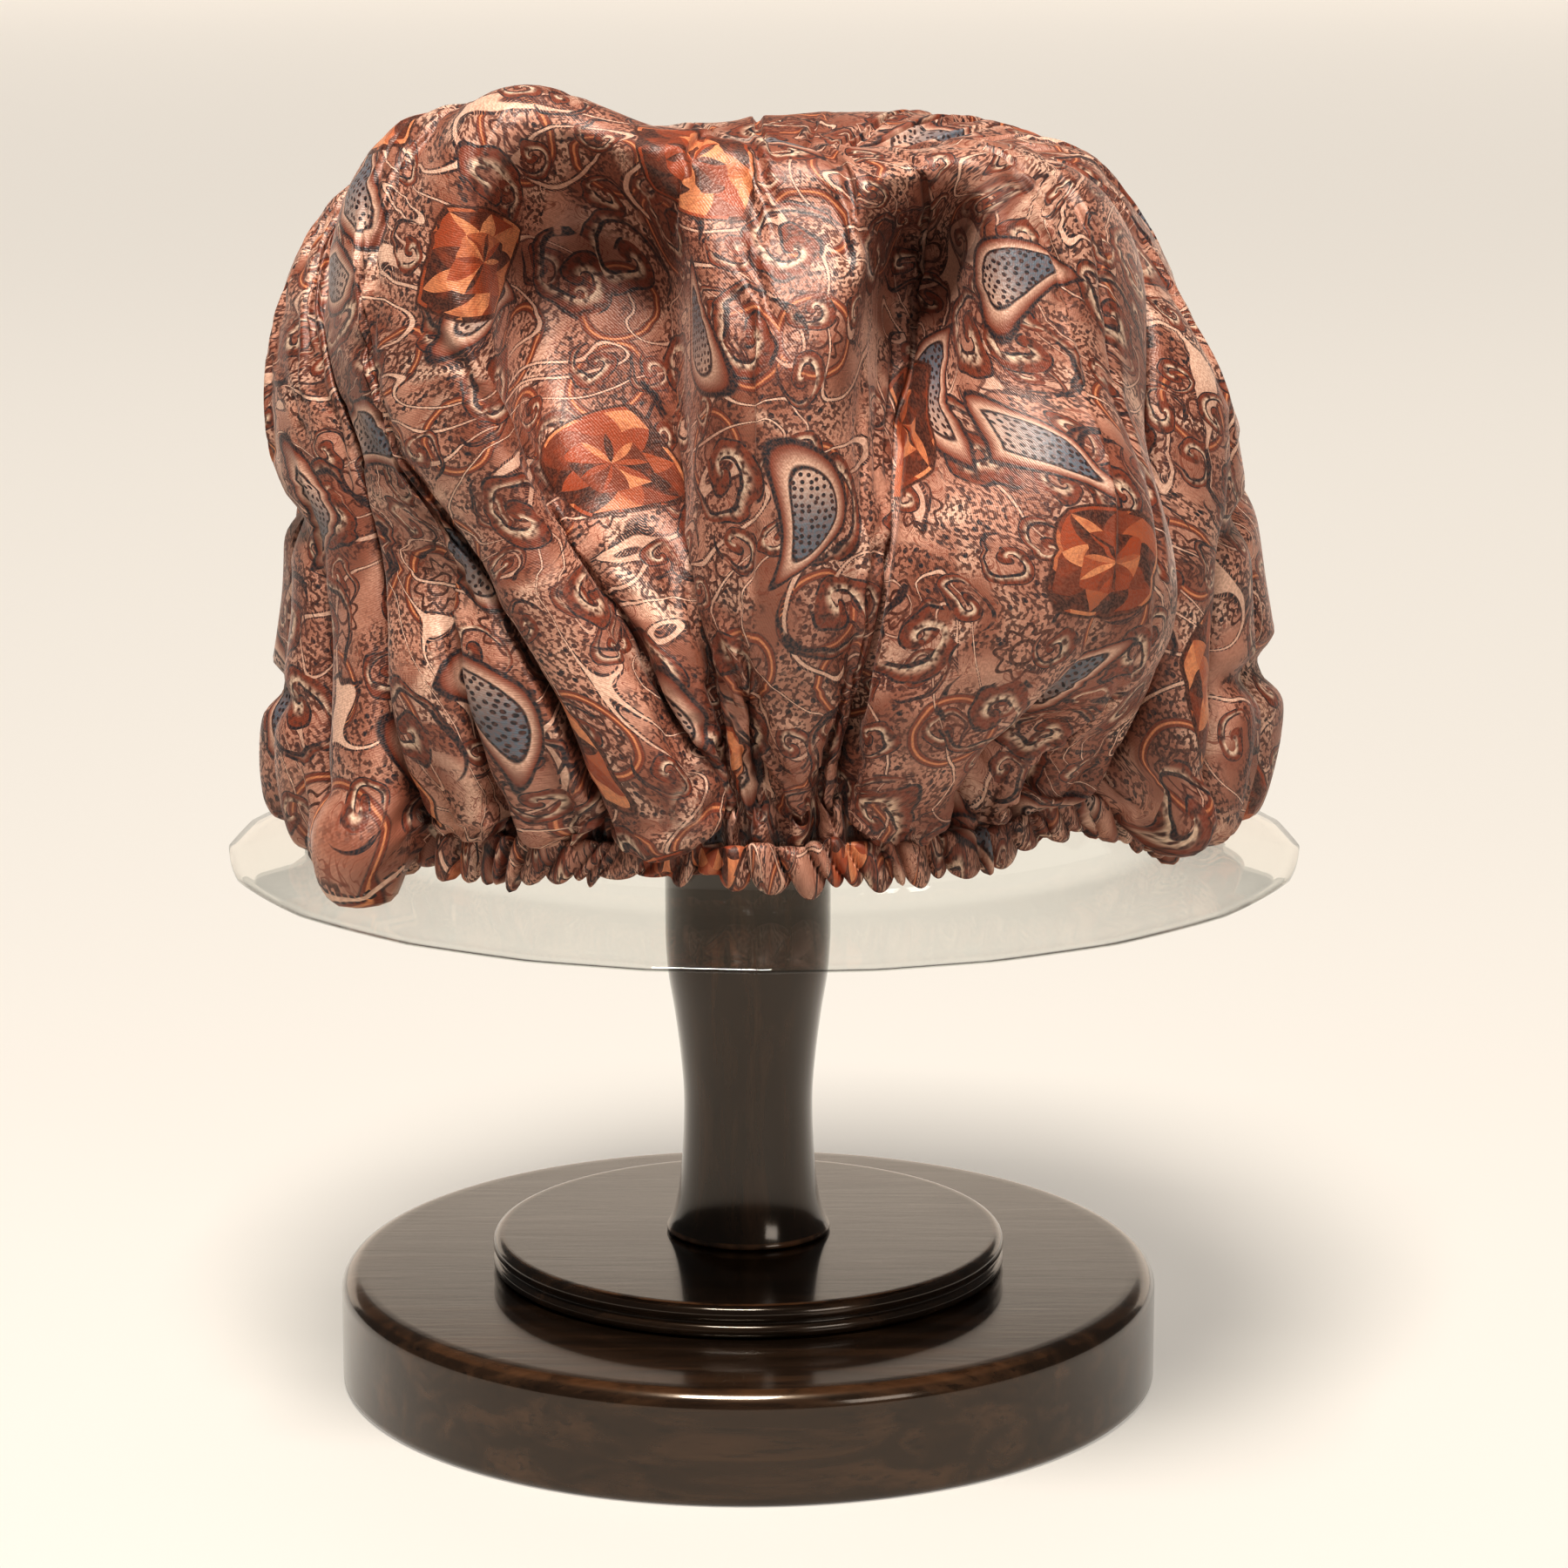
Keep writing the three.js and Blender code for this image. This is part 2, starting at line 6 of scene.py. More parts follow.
import bpy
import numpy as np
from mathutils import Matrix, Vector


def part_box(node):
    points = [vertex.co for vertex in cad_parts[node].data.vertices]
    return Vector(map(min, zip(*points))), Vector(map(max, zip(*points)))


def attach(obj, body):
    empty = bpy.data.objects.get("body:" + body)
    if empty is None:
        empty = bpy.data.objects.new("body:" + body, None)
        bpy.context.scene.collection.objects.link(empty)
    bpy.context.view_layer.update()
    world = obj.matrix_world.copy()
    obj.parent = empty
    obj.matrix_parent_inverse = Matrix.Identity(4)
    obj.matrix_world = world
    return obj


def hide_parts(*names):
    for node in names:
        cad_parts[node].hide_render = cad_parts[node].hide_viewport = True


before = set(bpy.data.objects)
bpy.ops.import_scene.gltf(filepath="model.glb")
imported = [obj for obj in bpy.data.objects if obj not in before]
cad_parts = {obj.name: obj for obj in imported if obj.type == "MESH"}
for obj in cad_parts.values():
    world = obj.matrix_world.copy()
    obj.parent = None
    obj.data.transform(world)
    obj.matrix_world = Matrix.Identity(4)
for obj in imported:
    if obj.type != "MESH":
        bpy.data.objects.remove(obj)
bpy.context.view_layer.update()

# Camera, at the photograph's place
CAMERA_AT = (0.00877, -1.08513, 0.3711)
CAMERA_DOWN = 11.67
CAMERA_LENS = 105.3
SENSOR_WIDTH = 36

# Wooden stand
base_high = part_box("base_plate")[1]
tier_low, tier_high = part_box("base_tier")
post_low, post_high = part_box("post")
BASE_RADIUS = base_high.y
BASE_HEIGHT = base_high.z
BASE_LOW_EDGE = 0.001
BASE_EDGE_ROUND = 0.0044
TIER_BEAD_RADIUS = tier_high.y
TIER_FLAT_RADIUS = 0.0606
TIER_GROOVE_RADIUS = 0.0612
POST_SHAFT_RADIUS = 0.0201
POST_TOP_CHAMFER = 0.002
POST_WAIST = [  # height, radius
    (0.0364, 0.0201), (0.0400, 0.0185), (0.0460, 0.0171), (0.0560, 0.0161), (0.0690, 0.0157),
    (0.0800, 0.0165), (0.0910, 0.0179), (0.1010, 0.0195), (0.1100, POST_SHAFT_RADIUS),
]
TURNED_SIDES = 256

# Clear former, shifted from the post's axis as the bonnet is
SHIFT_X = 0.004
FORMER_WALL = 0.0009
FORMER_SIDES = 288
BRIM_RADIUS = 0.1292
BRIM_EDGE_HEIGHT = 0.1328
BRIM_FLANGE = 0.0026
BRIM_INNER_RADIUS = 0.101
BRIM_INNER_HEIGHT = 0.140
BRIM_CORNERS = 26
BRIM_WOBBLE = 0.0007
BRIM_UNEVENNESS = 0.35
BRIM_ROUND_RADIUS = 0.112
DOME = [  # radius, height
    (0.0994, 0.1420), (0.0984, 0.1520), (0.0963, 0.1730), (0.0930, 0.1970), (0.0880, 0.2220),
    (0.0800, 0.2450), (0.0685, 0.2655), (0.0530, 0.2795), (0.0340, 0.2875), (0.0140, 0.2906),
    (0.0000, 0.2910),
]

# Smooth outline of the silk crown, with one section in front and one for the sides
Section = namedtuple("Section", "level front_radius front_height side_radius side_height")
CROWN_SECTIONS = [
    Section(0.00, 0.0000, 0.2930, 0.0000, 0.2930),
    Section(0.08, 0.0280, 0.2955, 0.0280, 0.2955),
    Section(0.18, 0.0620, 0.3030, 0.0620, 0.3020),
    Section(0.27, 0.0930, 0.2995, 0.0880, 0.2970),
    Section(0.36, 0.1080, 0.2820, 0.1060, 0.2790),
    Section(0.47, 0.1170, 0.2540, 0.1170, 0.2520),
    Section(0.60, 0.1220, 0.2210, 0.1200, 0.2210),
    Section(0.73, 0.1205, 0.1900, 0.1210, 0.1900),
    Section(0.83, 0.1140, 0.1710, 0.1215, 0.1680),
    Section(0.89, 0.1095, 0.1630, 0.1200, 0.1555),
    Section(0.94, 0.1083, 0.1595, 0.1165, 0.1480),
    Section(0.97, 0.1060, 0.1570, 0.1110, 0.1476),
    Section(1.00, 0.1036, 0.1544, 0.1042, 0.1494),
]
SIDE_BLEND_LEFT = (40, 50)
SIDE_BLEND_RIGHT = (36, 62)

# Folds that run down to the hem, with values where they pass four levels. lean slides
# the cloth sideways over the crease.
FOLD_LEVELS = (0.25, 0.5, 0.75, 1.0)
Fold = namedtuple("Fold", "azimuth start depth width lean")
FOLDS = [
    Fold((-82, -60, -50, -45), 0.14, (0.006, 0.013, 0.016, 0.014), (0.012, 0.008, 0.007, 0.006), 0.008),
    Fold((-60, -48, -38, -33), 0.62, (0, 0, 0.010, 0.013), (0.006, 0.006, 0.005, 0.005), 0.007),
    Fold((-52, -47, -27, -20.5), 0.50, (0, 0.005, 0.018, 0.015), (0.008, 0.008, 0.007, 0.006), 0.010),
    Fold((-36, -31, -14, -5), 0.44, (0, 0.012, 0.020, 0.015), (0.010, 0.009, 0.007, 0.005), 0.010),
    Fold((-11, -8.8, -5.6, -1.8), 0.24, (0.003, 0.010, 0.015, 0.013), (0.012, 0.007, 0.006, 0.004), -0.004),
    Fold((0, 0, -0.3, 2.5), 0.70, (0, 0, 0.010, 0.013), (0.005, 0.005, 0.005, 0.005), 0.001),
    Fold((12, 11, 9.5, 6.5), 0.72, (0, 0, 0.006, 0.012), (0.005, 0.005, 0.005, 0.005), -0.002),
    Fold((24, 17, 12.8, 11.4), 0.20, (0.006, 0.013, 0.017, 0.015), (0.010, 0.007, 0.006, 0.005), -0.006),
    Fold((36, 34, 29.5, 23), 0.68, (0, 0, 0.020, 0.017), (0.006, 0.006, 0.010, 0.007), 0.003),
    Fold((44, 42, 38.5, 33), 0.80, (0, 0, 0.005, 0.012), (0.006, 0.006, 0.006, 0.005), 0.001),
    Fold((66, 51, 49, 44), 0.16, (0.010, 0.016, 0.015, 0.014), (0.009, 0.007, 0.006, 0.006), 0.006),
    Fold((76, 68, 62, 58), 0.55, (0, 0.002, 0.010, 0.012), (0.009, 0.008, 0.007, 0.006), 0.002),
    Fold((90, 84, 78, 74), 0.30, (0.002, 0.010, 0.011, 0.012), (0.009, 0.008, 0.007, 0.006), -0.003),
    Fold((102, 99, 95, 92), 0.62, (0, 0, 0.010, 0.012), (0.009, 0.008, 0.006, 0.005), 0.002),
    Fold((118, 115, 112, 110), 0.22, (0.006, 0.012, 0.012, 0.013), (0.012, 0.009, 0.007, 0.006), 0.004),
    Fold((133, 131, 128, 127), 0.66, (0, 0, 0.010, 0.012), (0.009, 0.008, 0.006, 0.005), 0.001),
    Fold((147, 147, 145, 144), 0.30, (0.004, 0.010, 0.013, 0.012), (0.012, 0.009, 0.007, 0.006), -0.004),
    Fold((163, 163, 161, 160), 0.60, (0, 0.002, 0.011, 0.013), (0.009, 0.008, 0.006, 0.005), 0.001),
    Fold((181, 178, 177, 177), 0.22, (0.007, 0.014, 0.014, 0.013), (0.014, 0.009, 0.007, 0.006), 0.005),
    Fold((197, 196, 194, 193), 0.64, (0, 0, 0.011, 0.012), (0.009, 0.008, 0.006, 0.005), -0.002),
    Fold((213, 212, 210, 209), 0.32, (0.003, 0.010, 0.012, 0.013), (0.010, 0.009, 0.007, 0.006), 0.004),
    Fold((229, 228, 226, 225), 0.66, (0, 0, 0.010, 0.012), (0.009, 0.008, 0.006, 0.005), -0.001),
    Fold((245, 243, 241, 241), 0.20, (0.007, 0.012, 0.012, 0.013), (0.012, 0.009, 0.007, 0.006), -0.005),
    Fold((258, 258, 256, 256), 0.60, (0, 0, 0.010, 0.012), (0.009, 0.008, 0.006, 0.005), 0.001),
    Fold((268, 271, 270, 271), 0.36, (0.002, 0.007, 0.010, 0.012), (0.009, 0.008, 0.007, 0.006), 0.003),
    Fold((273, 283, 285, 288), 0.55, (0, 0.002, 0.010, 0.013), (0.009, 0.008, 0.006, 0.005), 0.004),
    Fold((276, 292, 299, 303), 0.60, (0, 0, 0.010, 0.013), (0.006, 0.006, 0.006, 0.005), 0.003),
]

# Rounded hollows, and swells where depth is below 0, measured over the cloth. above and
# below are how far one reaches up and down. back_share is 0 where the cloth moves along
# its normal and 1 where it moves straight back, which leaves a brow of cloth over a hollow.
Hollow = namedtuple("Hollow", "azimuth level half_width above below tilt depth back_share")
HOLLOWS = [
    Hollow(-19, 0.425, 0.0235, 0.049, 0.068, 12, 0.043, 1),
    Hollow(19, 0.410, 0.0145, 0.040, 0.042, -12, 0.036, 1),
    Hollow(1, 0.270, 0.024, 0.026, 0.030, 0, 0.012, 1),
    Hollow(-22, 0.245, 0.040, 0.020, 0.016, 0, -0.0105, 0.5),
    Hollow(22, 0.250, 0.030, 0.018, 0.014, 0, -0.011, 0.8),
    Hollow(-50, 0.300, 0.032, 0.034, 0.034, 0, -0.005, 0),
    Hollow(-57, 0.220, 0.040, 0.026, 0.030, 0, -0.008, 0),
    Hollow(-80, 0.360, 0.042, 0.040, 0.040, 0, -0.0045, 0),
    Hollow(88, 0.400, 0.046, 0.046, 0.046, 0, 0.010, 0),
    Hollow(-98, 0.740, 0.070, 0.060, 0.060, 0, 0.005, 0),
    Hollow(33, 0.680, 0.030, 0.058, 0.036, 0, -0.016, 0),
    Hollow(40, 0.300, 0.026, 0.030, 0.030, 0, -0.004, 0),
    Hollow(-14, 0.600, 0.012, 0.030, 0.030, -14, 0.008, 0),
    Hollow(-40, 0.620, 0.020, 0.022, 0.022, -30, 0.005, 0),
    Hollow(150, 0.200, 0.040, 0.026, 0.026, 0, -0.003, 0),
    Hollow(-54, 0.945, 0.016, 0.020, 0.020, 0, -0.0115, 0),
    Hollow(56, 0.945, 0.011, 0.018, 0.018, 0, -0.0085, 0),
    Hollow(86, 0.600, 0.045, 0.008, 0.008, 10, 0.005, 0),
    Hollow(-86, 0.600, 0.045, 0.008, 0.008, -8, 0.006, 0),
    Hollow(-84, 0.800, 0.040, 0.007, 0.007, 6, 0.004, 0),
    Hollow(84, 0.780, 0.045, 0.007, 0.007, -6, 0.005, 0),
]

# The way over the cloth from the top's middle to the hem, and how sharply hollows end
CLOTH_LENGTH = 0.300
STEEP_ABOVE = 2.5
STEEP_BELOW = 1.2
STEEP_CHANGE = (-0.8, 0.2)

# Shape of every fold, and how the cloth rounds out and hangs between two of them
FOLD_START = (0.07, 0.12)
ROUND_FOLD_WIDTH = 0.007
SHOULDER_SHARE = 0.45
SHOULDER_REACH = 3
SLIDE_REACH = 1.1
FULL_SLIDE_DEPTH = 0.012
LOBE_ROUNDNESS = 0.40
LOBE_HANG = 0.8
LEAST_RADIUS = 0.060

# How the cloth keeps off the former's dome
DOME_CLEARANCE = 0.0012
DOME_SOFTNESS = 0.008

# Levels between which the shaping comes in or goes out
SHAPE_IN = (0, 0.12)
SHAPE_OUT = (0.93, 1)
SLIDE_OUT = (0.9, 1)
SHOULDER_OUT = (0.95, 0.65)
LIFT_IN = (0.6, 1)
HANG_IN = (0.86, 0.94)
HANG_OUT = (0.96, 1)
DOME_IN = (0, 0.3)
DOME_OUT = (0.8, 0.95)

# Casing of the gathered hem, which rides a little above the brim in front
CASING_BOTTOM = 0.1398
CASING_HEIGHT = 0.009
CASING_HALF_WIDTH = 0.0029
CASING_RADIUS = 0.1032
CASING_SQUARENESS = 0.6
CASING_WRAP = 2.4
FRONT_LIFT = 0.0052
HEM_LIFT = [  # azimuth, lift above the brim
    (-180, 0), (-60, 0), (-48, 0.0008), (-38, 0.0028), (-20, 0.0046), (0, 0.0052), (28, 0.0056),
    (40, 0.010), (48, 0.009), (62, 0.001), (74, 0), (180, 0),
]

# Pleats in the crown above the hem
PLEAT_SEED = 3
PLEAT_WIDTH = 0.0115
PLEAT_DEPTH = 0.0075
PLEAT_DRAW_SEED = 4
PLEAT_TOPS = (0.58, 0.84)
PLEAT_STRENGTH = (0.5, 1.2)
PLEAT_FOOT = 0.97
TUCK_TOP = 0.965
TUCK_IN = 0.0036
TUCK_DOWN = 0.0042

# Flutes of the casing, which carry on a little way up the crown
FLUTE_WIDTH = 0.0056
FLUTE_DEPTH = 0.0046
FLUTE_SCALLOP = 0.0028
FLUTE_RISE = 0.0034
FLUTE_SEED = 5
FLUTE_TOP = 0.86
FLUTE_DRAW_SEED = 6
FLUTE_DROP = (-0.0014, 0.0022)
FLUTE_LIFT = (0, 0.0022)
FLUTE_PUSH = (-0.0016, 0.0012)
Wave = namedtuple("Wave", "height number phase")
FLUTE_WAVES = [Wave(0.0012, 7, 0), Wave(0.0008, 17, 40)]
FLUTE_SLANT = [Wave(1.3, 3, 0), Wave(0.9, 8, 50)]
GATHER_SHARPNESS = 0.5
GATHER_SPREAD = (0.35, 1.7)

# Cloth simulation. The cloth is a little too large, follows the modelled shape loosely, and
# is held more and more between two levels above the hem.
SPARE_CLOTH = 1.05
FOLLOW_SHAPE = 0.40
HELD_LEVELS = (0.95, 0.985)
SETTLE_FRAMES = 10
CLOTH_SETTINGS = {
    "pin_stiffness": 1, "quality": 5, "mass": 0.08, "air_damping": 2, "tension_stiffness": 8,
    "compression_stiffness": 8, "shear_stiffness": 8 / 3, "bending_stiffness": 2,
}
TOUCH_SETTINGS = {
    "use_collision": False, "use_self_collision": True, "self_distance_min": 0.0012, "self_friction": 2,
}

# Lay of the print. No crease crosses the reference azimuth, so the print is straight there.
# A crease hides cloth for some times its depth.
CHART = "Cloth"
REFERENCE_AZIMUTH = 4
CREASE_HIDES = 3
CHART_SPREAD = 1.1
STRAIGHT_BELOW = 0.64

# Fineness of the cloth meshes
COLUMNS_PER_FOLD = 11
CREASE_CROWDING = 0.07
CROWN_ROWS = 83
CASING_SECTION_POINTS = 20
CASING_COLUMNS_PER_FOLD = 60

# Colours of the print, linear, and the finish of the silk
PINK_TAN = (0.60, 0.325, 0.230)
SAND = (0.78, 0.52, 0.39)
DUSKY = (0.29, 0.108, 0.064)
CREAM = (0.78, 0.58, 0.43)
BROWN = (0.052, 0.014, 0.010)
NAVY = (0.009, 0.010, 0.017)
RUST = (0.21, 0.042, 0.017)
BLUE_GREY = (0.125, 0.150, 0.18)
AMBER_DARK = (0.042, 0.007, 0.003)
AMBER = (0.36, 0.062, 0.013)
AMBER_LIGHT = (0.70, 0.29, 0.13)
TWILL_SPACING = 0.0006
THREAD_SIZE = 0.0007
SILK_ROUGHNESS = 0.36
SILK_GLOSS_TINT = (1, 0.93, 0.87, 1)

# Sizes in the print, and how far apart its motifs lie
GROUND_PATCH = 0.030
PALE_PATCH = 0.021
LACE_PATCH = 0.014
STIPPLE_SIZE = 0.0011
CURL_SIZE = 0.0060
SEED_SPACING = 0.0036
ROSETTE_SPACING = 0.026
RIBBON_SPACING = 0.055
SMALL_SCROLL_SPACING = 0.016
LARGE_SCROLL_SPACING = 0.030
DROP_SPACING = 0.048
DROP_DOTS = 0.0017
STONE_SPACING = 0.070

# Colours of the other finishes, linear, and the sizes in them
WOOD_DARK = (0.026, 0.014, 0.008)
WOOD_BROWN = (0.085, 0.043, 0.022)
WOOD_PORE = (0.006, 0.004, 0.003)
# Lighter brown painted in a band along the wooden edges, as a highlight
WOOD_EDGE_HIGHLIGHT = (0.23, 0.105, 0.045)
VARNISH_TINT = (1, 0.82, 0.64, 1)
VARNISH_ROUGHNESS = 0.10
GRAIN_SIZE = 0.006
PORE_SIZE = 0.0016
# Size of the patches that break up the painted edge highlight
EDGE_HIGHLIGHT_PATCH = 0.012
SMEAR_SIZE = 0.030
PLASTIC_TINT = (0.965, 0.97, 0.955)
PLASTIC_ROUGHNESS = 0.04
PLASTIC_MIRROR = 0.04
FLOOR_COLOUR = (0.36, 0.341, 0.315)
FLOOR_GLOW = 0.45
BACKGROUND_COLOUR = (1, 0.94, 0.86)
WORLD_STRENGTH = 0.08
TONE_GAMMA = 0.80
TONE_EXPOSURE = 0.09
KEY_COLOUR = (1, 0.965, 0.92)
HORIZON_COLOUR = (1, 0.87, 0.74)
FLOOR_REACH = 60

# Studio lights, each aimed at its target
Light = namedtuple("Light", "name at size power colour target spread")
LIGHTS = [
    Light("key", (-0.12, -0.68, 1.98), (0.60, 0.60), 60, KEY_COLOUR, (0, 0, 0.2), 180),
    Light("fill", (1.1, -1.5, 0.8), (0.6, 0.6), 5, KEY_COLOUR, (0, 0, 0.2), 180),
    Light("far floor", (0, 6.2, 3), (9, 10.8), 180, KEY_COLOUR, (0, 6.2, 0), 60),
    Light("horizon", (0, 12, 2.1), (20, 4), 285, HORIZON_COLOUR, (0, 0, 2.1), 180),
]


# Curves through tables

def smooth_step(low, high, value):
    x = np.clip((value - low) / (high - low), 0, 1)
    return x * x * (3 - 2 * x)


def curve_through(values, place):
    """Smooth curve through evenly spaced values; place counts from the first one."""
    values = np.asarray(values, float)
    last = len(values) - 1
    x = np.clip(place, 0, last)
    index = np.minimum(np.floor(x).astype(int), last - 1)
    before = values[np.maximum(index - 1, 0)]
    start = values[index]
    end = values[index + 1]
    after = values[np.minimum(index + 2, last)]
    t = x - index
    bend = 2 * before - 5 * start + 4 * end - after
    twist = 3 * (start - end) + after - before
    return start + 0.5 * t * (end - before + t * (bend + t * twist))


def turned_in(degrees):
    return (degrees + 180) % 360 - 180


def hem_lift(azimuth):
    at, lift = np.array(HEM_LIFT).T
    return np.interp(turned_in(azimuth), at, lift)


def side_share(azimuth):
    """0 in front, and 1 at the sides and back."""
    a = turned_in(azimuth)
    return np.maximum(smooth_step(*SIDE_BLEND_LEFT, -a), smooth_step(*SIDE_BLEND_RIGHT, a))


def smooth_outline(level, side):
    """Radius and height of the crown's smooth outline."""
    levels = np.array([row.level for row in CROWN_SECTIONS])
    at = np.clip(level, 0, 1)
    below = np.clip(np.searchsorted(levels, at, side="right") - 1, 0, len(levels) - 2)
    place = below + (at - levels[below]) / (levels[below + 1] - levels[below])

    def read(column):
        return curve_through([getattr(row, column) for row in CROWN_SECTIONS], place)

    radius = read("front_radius") + side * (read("side_radius") - read("front_radius"))
    height = read("front_height") + side * (read("side_height") - read("front_height"))
    return radius, height


def dome_radius(height):
    """Radius of the former's dome, which the cloth can't pass through."""
    radii, heights = np.array(DOME[::-1]).T
    return np.interp(-height, -heights, radii, left=0)


def fold_value(values, level):
    return curve_through(values, (level - FOLD_LEVELS[0]) / (FOLD_LEVELS[1] - FOLD_LEVELS[0]))


# The crown's surface

def fold_depth(fold, level):
    depth = np.maximum(fold_value(fold.depth, level), 0)
    return depth * smooth_step(fold.start - FOLD_START[0], fold.start + FOLD_START[1], level)


def fold_shape(fold, azimuth, level, radius):
    """How far a fold draws the cloth in, and how far its lean slides the cloth sideways."""
    depth = fold_depth(fold, level)
    width = np.maximum(fold_value(fold.width, level), 0.002)
    across = np.radians(turned_in(azimuth - fold_value(fold.azimuth, level))) * radius
    power = 1 + np.clip(width / ROUND_FOLD_WIDTH - 1, 0, 1)
    shoulder = SHOULDER_SHARE * smooth_step(*SHOULDER_OUT, level)
    inwards = (1 - shoulder) * depth * np.exp(-((np.abs(across) / width) ** power))
    inwards += shoulder * depth * np.exp(-((across / (SHOULDER_REACH * width)) ** 2))
    reach = SLIDE_REACH * width
    centre = -np.sign(fold.lean) * reach
    slide = fold.lean * np.clip(depth / FULL_SLIDE_DEPTH, 0, 1)
    slide *= np.exp(-(((across - centre) / reach) ** 2))
    return inwards, slide


def hollow_depth(hollow, azimuth, level, radius):
    across = np.radians(turned_in(azimuth - hollow.azimuth)) * radius
    up = (hollow.level - level) * CLOTH_LENGTH
    tilt = math.radians(hollow.tilt)
    u = (across * math.cos(tilt) + up * math.sin(tilt)) / hollow.half_width
    v = up * math.cos(tilt) - across * math.sin(tilt)
    v = v / np.where(v > 0, hollow.above, hollow.below)
    steepness = STEEP_BELOW + (STEEP_ABOVE - STEEP_BELOW) * smooth_step(*STEEP_CHANGE, v)
    return hollow.depth * np.exp(-((u * u + v * v) ** steepness))


def lobe_swell(azimuth, level):
    """How far the cloth rounds out between two folds that both go deep."""
    swell = np.zeros_like(azimuth)
    for fold, following in zip(FOLDS, FOLDS[1:] + FOLDS[:1]):
        start = fold_value(fold.azimuth, level)
        span = (fold_value(following.azimuth, level) - start) % 360
        share = ((azimuth - start) % 360) / span
        depth = np.minimum(fold_depth(fold, level), fold_depth(following, level))
        swell += np.where(share < 1, depth * 4 * share * (1 - share), 0)
    return LOBE_ROUNDNESS * swell


def crown_surface(azimuth, level):
    """Points of the crown's outer face, for arrays of azimuths and levels."""
    side = side_share(azimuth)
    radius, height = smooth_outline(level, side)
    near = 0.001
    radius_above, height_above = smooth_outline(level - near, side)
    radius_below, height_below = smooth_outline(level + near, side)
    along_radius = radius_below - radius_above
    along_height = height_below - height_above
    length = np.hypot(along_radius, along_height)
    measured = np.maximum(radius, LEAST_RADIUS)
    inwards = np.zeros_like(azimuth)
    slide = np.zeros_like(azimuth)
    for fold in FOLDS:
        fold_in, fold_slide = fold_shape(fold, azimuth, level, measured)
        inwards += fold_in
        slide += fold_slide
    swell = lobe_swell(azimuth, level)
    inwards -= swell
    back = np.zeros_like(azimuth)
    for hollow in HOLLOWS:
        depth = hollow_depth(hollow, azimuth, level, measured)
        inwards += depth * (1 - hollow.back_share)
        back += depth * hollow.back_share
    fade = smooth_step(*SHAPE_IN, level) * (1 - smooth_step(*SHAPE_OUT, level))
    inwards *= fade
    slide *= 1 - smooth_step(*SLIDE_OUT, level)
    lift = (hem_lift(azimuth) - FRONT_LIFT * (1 - side)) * smooth_step(*LIFT_IN, level)
    hang = LOBE_HANG * swell * smooth_step(*HANG_IN, level) * (1 - smooth_step(*HANG_OUT, level))
    height = height - inwards * along_radius / length + lift - hang
    reach = radius + inwards * along_height / length
    angle = np.radians(azimuth) + slide / measured
    x = reach * np.sin(angle)
    y = -reach * np.cos(angle) + back * fade
    reach = np.maximum(np.hypot(x, y), 1e-6)
    dome = dome_radius(height) + DOME_CLEARANCE * smooth_step(*DOME_IN, level)
    spare = reach - dome
    soft = DOME_SOFTNESS * smooth_step(*DOME_IN, level) * (1 - smooth_step(*DOME_OUT, level))
    kept = dome + (spare + np.sqrt(spare ** 2 + soft ** 2)) / 2
    return np.stack([SHIFT_X + x * kept / reach, y * kept / reach, height], -1)


def column_azimuths(level, per_fold):
    """Azimuth of each mesh column at each level. Columns follow the folds and crowd at the creases."""
    creases = [fold_value(fold.azimuth, level) for fold in FOLDS]
    creases.append(creases[0] + 360)
    columns = []
    for start, end in zip(creases, creases[1:]):
        for step in range(per_fold):
            share = step / per_fold
            share -= CREASE_CROWDING * math.sin(2 * math.pi * share)
            columns.append(start + share * (end - start))
    return np.array(columns).T


# Meshes

def mesh_object(name, points, faces):
    mesh = bpy.data.meshes.new(name)
    mesh.from_pydata(np.asarray(points).tolist(), [], faces)
    mesh.update()
    mesh.polygons.foreach_set("use_smooth", [True] * len(mesh.polygons))
    piece = bpy.data.objects.new(name, mesh)
    bpy.context.scene.collection.objects.link(piece)
    return piece


def ring_faces(rings, columns, closed=False):
    """Quads between rings of points, each with the same number of columns."""
    faces = []
    for ring in range(rings if closed else rings - 1):
        below = (ring + 1) % rings
        for column in range(columns):
            beside = (column + 1) % columns
            faces.append((
                ring * columns + column, below * columns + column,
                below * columns + beside, ring * columns + beside,
            ))
    return faces


def turned(name, profile, sides):
    """Solid turned from (radius, height) pairs that run from the axis at the top down to the axis."""
    inner = profile[1:-1]
    angles = np.linspace(0, 2 * math.pi, sides, endpoint=False)
    points = [
        (radius * math.sin(angle), -radius * math.cos(angle), height)
        for radius, height in inner
        for angle in angles
    ]
    faces = ring_faces(len(inner), sides)
    points.append((0, 0, profile[0][1]))
    points.append((0, 0, profile[-1][1]))
    top, bottom = len(points) - 2, len(points) - 1
    last_ring = (len(inner) - 1) * sides
    for column in range(sides):
        beside = (column + 1) % sides
        faces.append((top, column, beside))
        faces.append((bottom, last_ring + beside, last_ring + column))
    return mesh_object(name, points, faces)


def arc(centre, radius, start, end, steps):
    """Points of a circle from one angle to another, in degrees."""
    return [
        (centre[0] + radius * math.cos(angle), centre[1] + radius * math.sin(angle))
        for angle in np.radians(np.linspace(start, end, steps + 1))
    ]


